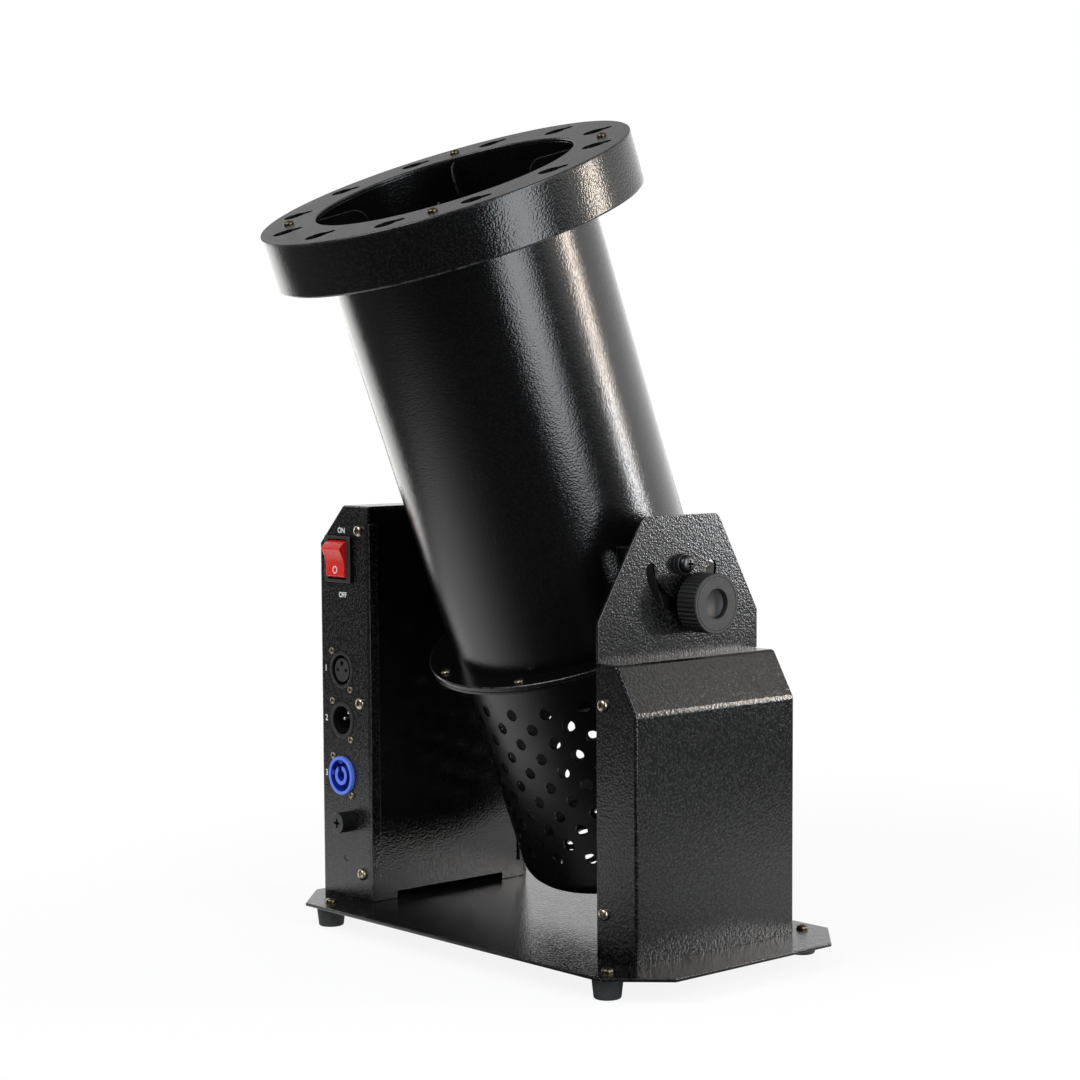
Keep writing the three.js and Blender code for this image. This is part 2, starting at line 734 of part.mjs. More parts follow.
// Fuse parts are turned round Z, then laid along Y: local +Z points out of the panel
function buildFuse() {
  const nutFront = -coverThickness - seatGap;
  const nutBack = nutFront - fuseNutLength;
  const holder = turned([
    [fuseBoreRadius, fuseCollarLength], [fuseBoreRadius, -fuseBodyLength + coverThickness],
    [0, -fuseBodyLength + coverThickness], [0, -fuseBodyLength], [fuseBodyRadius, -fuseBodyLength],
    [fuseBodyRadius, nutBack], [fuseNutRadius, nutBack], [fuseNutRadius, nutFront],
    [fuseBodyRadius, nutFront], [fuseBodyRadius, seatGap], [fuseCollarRadius, seatGap],
    [fuseCollarRadius, fuseCollarLength], [fuseBoreRadius, fuseCollarLength],
  ], mediumSides);
  const capFoot = fuseCollarLength + seatGap;
  const capTop = capFoot + fuseCapLength;
  const stemEnd = capFoot - fuseStemLength;
  const gripTop = stemEnd + fuseGrip;
  const round = fuseCollarLength / 3;
  const arm = fuseCapRadius * recessShare;
  const capBody = turned([
    [0, gripTop], [fuseRadius + seatGap, gripTop], [fuseRadius + seatGap, stemEnd],
    [fuseStemRadius, stemEnd], [fuseStemRadius, capFoot], [fuseCapRadius, capFoot],
    [fuseCapRadius, capTop - round], [fuseCapRadius - round, capTop], [0, capTop],
  ], mediumSides);
  const cap = cut(
    capBody,
    box(-arm, arm, -recessWidth, recessWidth, capTop - recessDepth, capTop + cutOverrun),
    box(-recessWidth, recessWidth, -arm, arm, capTop - recessDepth, capTop + cutOverrun),
  );
  const fuseTop = gripTop - seatGap;
  const fuse = turned([
    [0, fuseTop - fuseLength], [fuseRadius, fuseTop - fuseLength], [fuseRadius, fuseTop],
    [0, fuseTop],
  ], mediumSides);
  [['fuse_holder', holder, 'blackPlastic'], ['fuse_cap', cap, 'blackPlastic'],
    ['fuse', fuse, 'glass']].forEach(([name, shape, finish]) => {
    const mesh = addPiece(stand, name, shape, finish);
    mesh.rotation.x = Math.PI / 2;
    mesh.position.set(fuseX, columnFront, fuseZ);
  });
}

// A board or box held off the control upright: x runs away from the barrel
function standOffs(y0, y1, z0, z1) {
  const wallFace = leftWallX - uprightThickness - seatGap;
  const places = [y0 + boardEdge, y1 - boardEdge].flatMap(
    (y) => [z0 + boardEdge, z1 - boardEdge].map((z) => [y, z]),
  );
  return places.map((centre) => bar('x', standOffRadius,
    wallFace, wallFace - standOffLength - boardThickness / 2, centre));
}

function buildBoards() {
  const wallFace = leftWallX - uprightThickness - seatGap;
  const boardFace = wallFace - standOffLength;
  const boardBack = boardFace - boardThickness;
  const y1 = uprightBack - uprightThickness - boardInsetY;
  const y0 = y1 - controlBoardLength;
  const z1 = pivotZ - controlBoardDrop;
  const z0 = z1 - controlBoardHeight;
  const relayBottom = z0 + boardEdge;
  const relays = Array.from({ length: relayCount }, (unused, k) => {
    const start = y0 + boardEdge / 2 + k * relayPitch;
    return box(boardFace, boardBack - relayReach, start, start + relayLength,
      relayBottom, relayBottom + relayHeight);
  });
  const strip = box(boardFace, boardBack - terminalStripReach, y0 + boardEdge, y1 - boardEdge,
    z1 - boardEdge - terminalStripHeight, z1 - boardEdge);
  const board = join(
    box(boardFace, boardBack, y0, y1, z0, z1), ...relays, strip, ...standOffs(y0, y1, z0, z1),
  );
  addPiece(stand, 'control_board', board, 'boardGreen');

  const driverY0 = columnFront + fuseBodyLength + driverInset;
  const driverLength = y1 - driverY0;
  const driverZ0 = plateTop + driverBottom;
  const driverZ1 = z0 - driverGap;
  const boxFace = boardFace - driverBoxReach;
  const finPitch = (driverLength - finThickness) / (finCount - 1);
  const fins = Array.from({ length: finCount }, (unused, k) => {
    const start = driverY0 + k * finPitch;
    return box(boardFace, boxFace - finReach, start, start + finThickness, driverZ0, driverZ1);
  });
  const driver = join(
    box(boardFace, boxFace, driverY0, y1, driverZ0, driverZ1), ...fins,
    ...standOffs(driverY0, y1, driverZ0, driverZ1),
  );
  addPiece(stand, 'motor_driver', driver, 'steel');
}

function buildArm() {
  const t = uprightThickness;
  const shoulder = ledgeZ + armShoulderRise;
  const [topFront, topBack] = [pivotY - armTopWidth / 2, pivotY + armTopWidth / 2];
  const foot = plateTop + seatGap;
  const overLedge = ledgeZ + seatGap;
  const r = armTopRound;
  const shape = new THREE.Shape();
  shape.moveTo(uprightFront, foot);
  shape.lineTo(uprightBack, foot);
  shape.lineTo(uprightBack, overLedge);
  shape.lineTo(columnBack, overLedge);
  shape.lineTo(columnBack, shoulder);
  shape.lineTo(topBack, columnTop - r);
  shape.quadraticCurveTo(topBack - r / 3, columnTop, topBack - r, columnTop);
  shape.lineTo(topFront + r, columnTop);
  shape.quadraticCurveTo(topFront + r / 3, columnTop, topFront, columnTop - r);
  shape.lineTo(columnFront, shoulder);
  shape.lineTo(columnFront, overLedge);
  shape.lineTo(uprightFront, overLedge);
  shape.closePath();

  const slot = new THREE.Shape();
  const half = armSlotWidth / 2;
  const down = -Math.PI / 2;
  const travel = toRadians(armSlotTravel);
  const end = (angle) => [
    pivotY + studReach * Math.cos(angle), pivotZ + studReach * Math.sin(angle),
  ];
  slot.absarc(pivotY, pivotZ, studReach + half, down - travel, down + travel, false);
  slot.absarc(...end(down + travel), half, down + travel, down + travel + Math.PI, false);
  slot.absarc(pivotY, pivotZ, studReach - half, down + travel, down - travel, true);
  slot.absarc(...end(down - travel), half, down - travel + Math.PI, down - travel + fullTurn, false);

  const outerFace = rightWallX + t;
  const wall = {
    lipTop: slopeZ + armScrewInset,
    solid: prism('x', shape, rightWallX, outerFace, 3),
  };
  const through = [rightWallX - cutOverrun, outerFace + cutOverrun];
  const arm = cut(
    upright(1, rightWallX, wall),
    prism('x', slot, ...through, slotSides),
    bar('x', bushRadius + seatGap, ...through, [pivotY, pivotZ], innerSides),
    ...screwHoles(armScrewX, armScrewZs, shankHoleRadius),
  );
  addPiece(stand, 'arm_upright', arm, 'powderCoat');

  const s = coverThickness;
  const right = rightWallX + armCoverWidth;
  const ledgeEdge = rightWallX + armLedgeWidth;
  const outer = outline([
    [rightWallX, foot], [right, foot], [right, slopeZ], [ledgeEdge, ledgeZ], [rightWallX, ledgeZ],
  ]);
  const slopeAngle = Math.atan2(ledgeZ - slopeZ, right - ledgeEdge);
  const wallMitre = s * Math.tan((Math.PI / 2 - slopeAngle) / 2);
  const ledgeMitre = s * Math.tan(slopeAngle / 2);
  const inner = outline([
    [rightWallX - cutOverrun, foot - cutOverrun], [right - s, foot - cutOverrun],
    [right - s, slopeZ - wallMitre], [ledgeEdge - ledgeMitre, ledgeZ - s],
    [rightWallX - cutOverrun, ledgeZ - s],
  ]);
  const armRoom = box(rightWallX - cutOverrun, outerFace + seatGap, columnFront + s,
    columnBack - s, foot - cutOverrun, ledgeZ + cutOverrun);
  const cover = cut(
    prism('y', outer, columnFront, columnBack),
    prism('y', inner, columnFront + s, columnBack - s),
    armRoom,
    ...screwHoles(armScrewX, armScrewZs, shankHoleRadius),
  );
  addPiece(stand, 'arm_cover', cover, 'powderCoat');
  addCoverScrews('arm_screw_front', armScrewX, armScrewZs, false);
  addCoverScrews('arm_screw_back', armScrewX, armScrewZs, true);
}

// Distances of the pivot parts from the barrel's axis, the same on both sides
const bracketFace = wallReach - bushFlangeThickness - turnedGap;
const bracketBack = bracketFace - bracketThickness;
const shankEnd = bracketBack - bossLength;
const outsideReach = wallReach + uprightThickness;

function buildPivots() {
  [['left', -1], ['right', 1]].forEach(([name, side]) => {
    const wallX = side < 0 ? leftWallX : rightWallX;
    const flangeX = wallX - side * bushFlangeThickness;
    const bushBody = join(
      bar('x', bushFlangeRadius, flangeX, wallX - side * seatGap, [pivotY, pivotZ], innerSides),
      bar('x', bushRadius, flangeX, wallX + side * uprightThickness, [pivotY, pivotZ], innerSides),
    );
    const bore = bar('x', pivotShankRadius + turnedGap, wallX - cutOverrun - bushFlangeThickness,
      wallX + cutOverrun + bushFlangeThickness, [pivotY, pivotZ], innerSides);
    addPiece(stand, `pivot_bush_${name}`, cut(bushBody, bore), 'blackPlastic');
  });

  const collarStart = outsideReach + turnedGap;
  const collarEnd = collarStart + pivotCollarThickness;
  const collar = cut(
    bar('x', pivotCollarRadius, collarStart, collarEnd, [0, 0], innerSides),
    bar('x', pivotShankRadius + turnedGap, collarStart - cutOverrun, collarEnd + cutOverrun, [0, 0],
      innerSides),
  );
  addPiece(barrel, 'pivot_collar', collar, 'blackPlastic');

  const rightSeat = collarEnd + turnedGap;
  const right = panScrew(pivotHeadRadius, pivotHeadHeight, pivotShankRadius, rightSeat - shankEnd);
  const rightMesh = addPiece(barrel, 'pivot_screw_right', right, 'blackPlastic');
  rightMesh.rotation.y = Math.PI / 2;
  rightMesh.position.x = rightSeat;

  const leftSeat = outsideReach + turnedGap;
  const left = panScrew(innerHeadRadius, pivotHeadHeight, pivotShankRadius, leftSeat - shankEnd);
  const leftMesh = addPiece(barrel, 'pivot_screw_left', left, 'steel');
  leftMesh.rotation.y = -Math.PI / 2;
  leftMesh.position.x = -leftSeat;
}

// A channel that carries the barrel on one pivot; the right one also takes the lock stud
function bracket(holes) {
  const hollow = bracketHalfWidth - bracketThickness;
  const bosses = holes.map(([height]) => bar(
    'x', bossRadius, shankEnd, bracketBack + seatGap, [0, height], innerSides,
  ));
  const bores = holes.map(([height, radius]) => bar(
    'x', radius, shankEnd - cutOverrun, bracketFace + cutOverrun, [0, height], innerSides,
  ));
  return cut(
    join(
      cut(
        box(0, bracketFace, -bracketHalfWidth, bracketHalfWidth, -bracketBottom, bracketTop),
        box(-cutOverrun, bracketBack, -hollow, hollow, -bracketBottom - cutOverrun,
          bracketTop + cutOverrun),
        bar('z', barrelRadius + turnedGap, -bracketBottom - cutOverrun, bracketTop + cutOverrun,
          [0, 0], fineSides),
      ),
      ...bosses,
    ),
    ...bores,
  );
}

function buildBrackets() {
  const pivotHole = [0, pivotShankRadius + turnedGap];
  const studHole = [-studReach, studRadius + turnedGap];
  addPiece(barrel, 'pivot_bracket_right', bracket([pivotHole, studHole]), 'powderCoat');
  const left = addPiece(barrel, 'pivot_bracket_left', bracket([pivotHole]), 'powderCoat');
  left.rotation.z = Math.PI;
}

function buildLock() {
  const washerStart = outsideReach + turnedGap;
  const washerEnd = washerStart + lockWasherThickness;
  const washer = cut(
    bar('z', lockWasherRadius, washerStart, washerEnd, [0, 0], mediumSides),
    bar('z', studRadius + turnedGap, washerStart - cutOverrun, washerEnd + cutOverrun, [0, 0],
      mediumSides),
  );
  const knobStart = washerEnd + turnedGap;
  const rimStart = knobStart + knobHubLength;
  const knobEnd = knobStart + knobLength;
  const ribs = around(knobRibCount * 2, 1, 0).map(([x, y], k) => {
    const radius = k % 2 === 0 ? knobRadius : knobRadius - knobRibDepth;
    return [x * radius, y * radius];
  });
  const faceStart = knobEnd - knobFaceRound;
  const face = turned([
    [0, faceStart - seatGap], [knobRadius, faceStart - seatGap], [knobRadius, faceStart],
    [knobRadius - knobFaceRound, knobEnd], [0, knobEnd],
  ], knobRibCount);
  const knob = cut(
    join(
      prism('z', outline(ribs), rimStart, faceStart), face,
      bar('z', knobHubRadius, knobStart, rimStart + seatGap, [0, 0], mediumSides),
      bar('z', studRadius, shankEnd, knobStart + seatGap, [0, 0], mediumSides),
    ),
    bar('z', knobDishRadius, knobEnd - knobDishDepth, knobEnd + cutOverrun, [0, 0], mediumSides),
  );
  [['lock_washer', washer, 'steel'], ['lock_knob', knob, 'knobPlastic']].forEach(
    ([name, shape, finish]) => {
      const mesh = addPiece(barrel, name, shape, finish);
      mesh.rotation.y = Math.PI / 2;
      mesh.position.z = -studReach;
    },
  );
}

const tubeInner = barrelRadius - barrelWall;
const plateUnder = mouthTop - mouthPlateThickness;
const tubeTop = plateUnder - turnedGap;
const flangeFoot = -flangeTop - flangeThickness;

function buildTube() {
  const notchHalf = vaneThickness / 2 + turnedGap;
  const notchFoot = tubeTop - vaneNeckHeight - 2 * turnedGap;
  const notches = around(vaneCount, 1, mouthScrewAngle).map(([, , angle]) => solid(
    new THREE.BoxGeometry(barrelRadius * 2, notchHalf * 2, tubeTop - notchFoot + cutOverrun)
      .translate(barrelRadius, 0, (tubeTop + notchFoot + cutOverrun) / 2)
      .rotateZ(angle),
  ));
  const tube = turned(ringProfile(tubeInner, barrelRadius, flangeFoot, tubeTop), fineSides);
  addPiece(barrel, 'barrel_tube', cut(tube, ...notches), 'powderCoat');

  const inner = barrelRadius + turnedGap;
  const ring = turned([
    [inner, flangeFoot], [flangeRadius, flangeFoot], [flangeRadius, -flangeTop - flangeRound],
    [flangeRadius - flangeRound, -flangeTop], [inner, -flangeTop], [inner, flangeFoot],
  ], fineSides);
  addPiece(barrel, 'barrel_flange', cut(ring, ...flangeHoles()), 'powderCoat');
}

function flangeHoles() {
  const low = flangeFoot - cutOverrun * 2;
  const places = around(flangeHoleCount, flangeHoleCircle, 180 / flangeHoleCount);
  return places.map((centre) => bar(
    'z', flangeHoleRadius, low, -flangeTop + cutOverrun, centre, boreSides,
  ));
}

function buildMouth() {
  const drumFoot = mouthTop - mouthHeight;
  const inner = barrelRadius + turnedGap;
  const drumTop = plateUnder - turnedGap;
  const floorTop = drumFoot + mouthWall;
  const drum = turned([
    [inner, drumFoot], [mouthRadius, drumFoot], [mouthRadius, drumTop],
    [mouthRadius - mouthWall, drumTop], [mouthRadius - mouthWall, floorTop], [inner, floorTop],
    [inner, drumFoot],
  ], fineSides);
  addPiece(barrel, 'mouth_ring', drum, 'powderCoat');

  const headCentre = keyholeHeadRadius - keyholeLength / 2;
  const neckEnd = keyholeLength / 2 - keyholeNeckWidth / 2;
  const [low, high] = [plateUnder - cutOverrun, mouthTop + cutOverrun];
  const keyholes = around(keyholeCount, keyholeCircle, 0).flatMap(([x, y]) => {
    const turn = toRadians(keyholeTurn);
    const along = (distance) => [x + distance * Math.cos(turn), y + distance * Math.sin(turn)];
    const neck = new THREE.BoxGeometry(neckEnd - headCentre, keyholeNeckWidth, high - low)
      .translate((neckEnd + headCentre) / 2, 0, (low + high) / 2)
      .rotateZ(turn)
      .translate(x, y, 0);
    return [
      bar('z', keyholeHeadRadius, low, high, along(headCentre)),
      bar('z', keyholeNeckWidth / 2, low, high, along(neckEnd), boreSides),
      solid(neck),
    ];
  });
  const screwPlaces = around(vaneCount, mouthScrewCircle, mouthScrewAngle);
  const screwBores = screwPlaces.map(([x, y]) => bar('z', shankHoleRadius, low, high, [x, y], boreSides));
  const plate = turned(ringProfile(mouthHoleRadius, mouthRadius, plateUnder, mouthTop), fineSides);
  addPiece(barrel, 'mouth_plate', cut(plate, ...keyholes, ...screwBores), 'powderCoat');

  const vaneTop = plateUnder - turnedGap;
  const vaneOuter = tubeInner - turnedGap * 2;
  const earStart = barrelRadius + turnedGap * 2;
  const earEnd = earStart + vaneEarLength;
  const neckFoot = vaneTop - vaneNeckHeight;
  const r = vaneCornerRadius;
  const half = vaneThickness / 2;
  screwPlaces.forEach(([x, y, angle], k) => {
    const shape = new THREE.Shape();
    shape.moveTo(vaneInnerRadius, vaneTop - vaneDepth);
    shape.lineTo(vaneOuter, vaneTop - vaneDepth);
    shape.lineTo(vaneOuter, neckFoot);
    shape.lineTo(earStart, neckFoot);
    shape.lineTo(earStart, vaneTop - vaneEarHeight);
    shape.lineTo(earEnd, vaneTop - vaneEarHeight);
    shape.lineTo(earEnd, vaneTop);
    shape.lineTo(vaneInnerRadius + r, vaneTop);
    shape.absarc(vaneInnerRadius + r, vaneTop - r, r, Math.PI / 2, Math.PI, false);
    shape.closePath();
    const tab = box(earStart + turnedGap, earEnd, -vaneTabWidth / 2, vaneTabWidth / 2,
      vaneTop - vaneThickness, vaneTop);
    const bore = bar('z', shankHoleRadius, vaneTop - vaneEarHeight - cutOverrun,
      vaneTop + cutOverrun, [mouthScrewCircle, 0], boreSides);
    const vane = cut(join(prism('y', shape, -half, half, 4), tab), bore);
    addPiece(barrel, `mouth_vane_${k + 1}`, vane, 'powderCoat').rotation.z = angle;
    const screw = panScrew(panHeadRadius, panHeadHeight, panShankRadius, panShankLength);
    addPiece(barrel, `mouth_screw_${k + 1}`, screw, 'nickel').position.set(
      x, y, mouthTop + turnedGap,
    );
  });
}

const cageTop = flangeFoot - turnedGap;

function buildCage() {
  const cageFoot = cageTop - cageLength;
  const inner = cageRadius - cageWall;
  const flangeUnder = cageTop - cageFlangeThickness;
  const r = cageCornerRadius;
  const cornerSteps = 3;
  // Quarter circles between the wall and the floor, outside and inside
  const quarter = (radius, centreRadius, up) => Array.from({ length: cornerSteps + 1 }, (unused, k) => {
    const angle = (Math.PI / 2) * (up ? k / cornerSteps : 1 - k / cornerSteps);
    return [
      centreRadius + radius * Math.sin(angle), cageFoot + r - radius * Math.cos(angle),
    ];
  });
  const corner = cageRadius - r;
  const shell = turned([
    [0, cageFoot], ...quarter(r, corner, true), [cageRadius, flangeUnder],
    [cageFlangeRadius, flangeUnder], [cageFlangeRadius, cageTop], [inner, cageTop],
    ...quarter(r - cageWall, corner, false), [0, cageFoot + cageWall],
  ], cageColumns);
  // The wall's facets face the columns of holes
  const facetTurn = toRadians(cageColumnTurn) + Math.PI / cageColumns;
  const holes = around(cageColumns, 1, 0).flatMap(([, , angle], column) => {
    const longColumn = column % 2 === 0;
    const rows = longColumn ? cageLongRows : cageShortRows;
    const first = flangeUnder - cageFirstRow - (longColumn ? 0 : cageRowPitch / 2);
    return Array.from({ length: rows }, (unused, row) => solid(
      new THREE.CylinderGeometry(cageHoleRadius, cageHoleRadius, cageWall * 6, 6)
        .rotateZ(Math.PI / 2)
        .translate(cageRadius, 0, first - row * cageRowPitch)
        .rotateZ(angle + Math.PI / cageColumns),
    ));
  });
  const places = around(flangeHoleCount, flangeHoleCircle, 180 / flangeHoleCount);
  const screwHolesInFlange = places.map(([x, y]) => bar(
    'z', flangeHoleRadius, flangeUnder - cutOverrun, cageTop + cutOverrun,
    [x * Math.cos(facetTurn) + y * Math.sin(facetTurn),
      y * Math.cos(facetTurn) - x * Math.sin(facetTurn)], boreSides,
  ));
  const cage = wasm.Manifold.union(holes);
  addPiece(barrel, 'intake_cage', cut(shell, cage, ...screwHolesInFlange), 'powderCoat')
    .rotation.z = facetTurn;
}

function buildFan() {
  const mountFoot = cageTop + turnedGap;
  const mountTop = mountFoot + mountThickness;
  const rimOuter = tubeInner - turnedGap * 2;
  const rimInner = rimOuter - mountRimWidth;
  const shaftHole = bearingRadius + turnedGap;
  const arms = [0, Math.PI / 2].map((angle) => solid(
    new THREE.BoxGeometry((rimInner + seatGap) * 2, mountArmWidth, mountThickness)
      .translate(0, 0, (mountFoot + mountTop) / 2)
      .rotateZ(angle),
  ));
  const mount = cut(
    join(
      turned(ringProfile(rimInner, rimOuter, mountFoot, mountTop), fineSides), ...arms,
      bar('z', mountHubRadius, mountFoot, mountTop, [0, 0], innerSides),
    ),
    bar('z', shaftHole, mountFoot - cutOverrun, mountTop + cutOverrun, [0, 0], innerSides),
  );
  addPiece(barrel, 'motor_mount', mount, 'steel');

  const motorTop = mountFoot - turnedGap;
  const motorFoot = motorTop - motorLength;
  const cavity = motorRadius - motorWall;
  const seatTop = motorTop - motorHeadThickness;
  const pocketFloor = motorFoot + motorFloorThickness;
  const cavityFloor = pocketFloor + bearingWidth + turnedGap;
  const housing = turned([
    [0, motorFoot], [motorRadius - motorChamfer, motorFoot],
    [motorRadius, motorFoot + motorChamfer], [motorRadius, motorTop], [shaftHole, motorTop],
    [shaftHole, seatTop], [cavity, seatTop], [cavity, cavityFloor], [shaftHole, cavityFloor],
    [shaftHole, pocketFloor], [0, pocketFloor],
  ], mediumSides);
  addPiece(barrel, 'motor_housing', housing, 'blackPlastic');

  const bearingBore = shaftRadius + turnedGap;
  const upperTop = motorTop - turnedGap;
  const lowerFoot = pocketFloor + turnedGap;
  [['motor_bearing_upper', upperTop - bearingWidth], ['motor_bearing_lower', lowerFoot]].forEach(
    ([name, foot]) => {
      const race = turned(
        ringProfile(bearingBore, bearingRadius, foot, foot + bearingWidth - turnedGap), innerSides,
      );
      addPiece(barrel, name, race, 'steel');
    },
  );

  const impellerFoot = mountTop + 3 * turnedGap;
  const impellerTop = impellerFoot + impellerHeight;
  const coreFoot = cavityFloor + rotorInset;
  const coreTop = seatTop - rotorInset;
  const shaft = turned([
    [0, lowerFoot], [shaftRadius, lowerFoot], [shaftRadius, coreFoot], [rotorRadius, coreFoot],
    [rotorRadius, coreTop], [shaftRadius, coreTop], [shaftRadius, impellerTop + shaftTop],
    [0, impellerTop + shaftTop],
  ], innerSides);
  addPiece(barrel, 'motor_shaft', shaft, 'steel');

  const bladeTip = tubeInner - bladeTipGap;
  const middle = (impellerFoot + impellerTop) / 2;
  const chord = (impellerHeight * bladeChordShare - bladeThickness) / Math.cos(toRadians(bladePitch));
  const bladeRoot = impellerHubRadius / 2;
  const blades = around(bladeCount, 1, 0).map(([, , angle]) => solid(
    new THREE.BoxGeometry(bladeTip - bladeRoot + cutOverrun, bladeThickness, chord)
      .rotateX(toRadians(bladePitch))
      .translate((bladeTip + bladeRoot + cutOverrun) / 2, 0, middle)
      .rotateZ(angle),
  ));
  const envelope = bar('z', bladeTip, impellerFoot, impellerTop, [0, 0], fineSides);
  const impeller = cut(
    join(bar('z', impellerHubRadius, impellerFoot, impellerTop, [0, 0], innerSides), ...blades),
    bar('z', shaftRadius + seatGap, impellerFoot - cutOverrun, impellerTop + cutOverrun, [0, 0],
      innerSides),
  ).intersect(envelope);
  addPiece(barrel, 'impeller', impeller, 'blackPlastic');
}

buildBase();
buildControlColumn();
buildSwitch();
buildSockets();
buildFuse();
buildBoards();
buildArm();
buildPivots();
buildBrackets();
buildLock();
buildTube();
buildMouth();
buildCage();
buildFan();

export default stand;
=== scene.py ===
import math

import bmesh
import bpy
from mathutils import Matrix, Vector


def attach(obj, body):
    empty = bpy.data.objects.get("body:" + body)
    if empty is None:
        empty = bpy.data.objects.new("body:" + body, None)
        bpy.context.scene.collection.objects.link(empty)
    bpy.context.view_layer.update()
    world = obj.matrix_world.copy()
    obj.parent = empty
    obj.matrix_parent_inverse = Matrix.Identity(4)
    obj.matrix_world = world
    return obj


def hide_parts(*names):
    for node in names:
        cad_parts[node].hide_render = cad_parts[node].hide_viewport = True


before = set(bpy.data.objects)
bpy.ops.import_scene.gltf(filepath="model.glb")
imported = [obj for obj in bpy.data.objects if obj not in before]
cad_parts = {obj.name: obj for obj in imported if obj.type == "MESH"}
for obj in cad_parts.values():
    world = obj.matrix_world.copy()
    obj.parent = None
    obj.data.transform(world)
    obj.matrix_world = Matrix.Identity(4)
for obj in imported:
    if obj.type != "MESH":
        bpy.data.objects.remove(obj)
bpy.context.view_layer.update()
print("frame loaded")

# Sizes are in millimetres and angles in degrees, in the same frame as the solids
mm = 0.001
weld = 0.0005  # points nearer than this become one
place = {"pivot": (-3.7, 3.4, 227.5), "tilt": 21.4, "front": -63.2, "back": 67.2,
         "leftWall": -111.0, "rightWall": 103.6, "top": 256.2, "seat": 2.1}
stand = Matrix.Identity(4)
barrel = Matrix.Translation(place["pivot"]) @ Matrix.Rotation(math.radians(place["tilt"]), 4, "X")
# Local z points to the front in the first of these, and to the right in the second
layAlongY = Matrix(((1, 0, 0, 0), (0, 0, -1, 0), (0, 1, 0, 0), (0, 0, 0, 1)))
layAlongX = Matrix(((0, 0, 1, 0), (1, 0, 0, 0), (0, 1, 0, 0), (0, 0, 0, 1)))


def moved(x=0.0, y=0.0, z=0.0):
    return Matrix.Translation((x, y, z))


def turned(degrees, axis):
    return Matrix.Rotation(math.radians(degrees), 4, axis)


def onFront(x, z, depth=0.0):
    return moved(x, place["front"] + depth, z) @ layAlongY


def laid(bm, matrix):
    bm.transform(matrix)
    return bm


def placed(name, data):
    thing = bpy.data.objects.new(name, data)
    bpy.context.scene.collection.objects.link(thing)
    return thing


def asMesh(name, bm):
    mesh = bpy.data.meshes.new(name)
    bm.to_mesh(mesh)
    bm.free()
    return mesh


# Shapes: each function returns a bmesh in millimetres
def rectangle(x0, x1, y0, y1):
    return [(x0, y0), (x1, y0), (x1, y1), (x0, y1)]


def spinShape(profile, steps=64, loop=False):  # a profile of radii and heights, turned about z
    bm = bmesh.new()
    verts = [bm.verts.new((radius, 0, height)) for radius, height in profile]
    pairs = list(zip(verts, verts[1:])) + ([(verts[-1], verts[0])] if loop else [])
    edges = [bm.edges.new(pair) for pair in pairs]
    bmesh.ops.spin(bm, geom=verts + edges, cent=(0, 0, 0), axis=(0, 0, 1), dvec=(0, 0, 0),
                   angle=math.tau, steps=steps, use_merge=True, use_duplicate=False)
    bmesh.ops.remove_doubles(bm, verts=bm.verts, dist=weld)
    bmesh.ops.recalc_face_normals(bm, faces=bm.faces)
    return bm


def ringShape(inner, outer, low, high, steps=48):
    return spinShape(rectangle(inner, outer, low, high), steps, loop=True)


def thicken(bm, depth):
    grown = bmesh.ops.extrude_face_region(bm, geom=bm.faces[:])
    lifted = [v for v in grown["geom"] if isinstance(v, bmesh.types.BMVert)]
    bmesh.ops.translate(bm, verts=lifted, vec=(0, 0, depth))
    bmesh.ops.recalc_face_normals(bm, faces=bm.faces)
    return bm


def slab(outline, depth, cornerRadius=0.0, corners=None, segments=5):
    bm = bmesh.new()
    verts = [bm.verts.new((x, y, 0)) for x, y in outline]
    bm.faces.new(verts)
    if cornerRadius:
        picked = [verts[k] for k in (corners or range(len(verts)))]
        bmesh.ops.bevel(bm, geom=picked, offset=cornerRadius, offset_type="OFFSET", affect="VERTICES",
                        segments=segments, profile=0.5, material=-1)
    return thicken(bm, depth)


def block(x0, x1, y0, y1, z0, z1):
    bm = bmesh.new()
    bmesh.ops.create_cube(bm, size=1.0)
    bmesh.ops.scale(bm, verts=bm.verts, vec=(abs(x1 - x0), abs(y1 - y0), abs(z1 - z0)))
    bmesh.ops.translate(bm, verts=bm.verts, vec=((x0 + x1) / 2, (y0 + y1) / 2, (z0 + z1) / 2))
    return bm


def rod(radius, low, high, sides=32):
    bm = bmesh.new()
    bmesh.ops.create_cone(bm, cap_ends=True, segments=sides, radius1=radius, radius2=radius,
                          depth=high - low)
    bmesh.ops.translate(bm, verts=bm.verts, vec=(0, 0, (low + high) / 2))
    return bm


def soften(bm, width, segments=2, angle=30, picked=None):
    edges = [e for e in bm.edges if len(e.link_faces) == 2
             and e.calc_face_angle(0) > math.radians(angle) and (picked is None or picked(e))]
    if edges:
        bmesh.ops.bevel(bm, geom=edges, offset=width, offset_type="OFFSET", affect="EDGES",
                        segments=segments, profile=0.5, clamp_overlap=True, material=-1)
    return bm


def joined(*parts):  # each part is a shape, its place and the number of its finish
    whole = bmesh.new()
    for shape, matrix, finishIndex in parts:
        shape.transform(matrix)
        for face in shape.faces:
            face.material_index = finishIndex
        carrier = asMesh("carrier", shape)
        whole.from_mesh(carrier)
        bpy.data.meshes.remove(carrier)
    return whole


def tint(bm, finishIndex, chosen):  # another finish on the faces whose middle and normal are chosen
    bm.normal_update()
    for face in bm.faces:
        if chosen(face.calc_center_median(), face.normal):
            face.material_index = finishIndex
    return bm


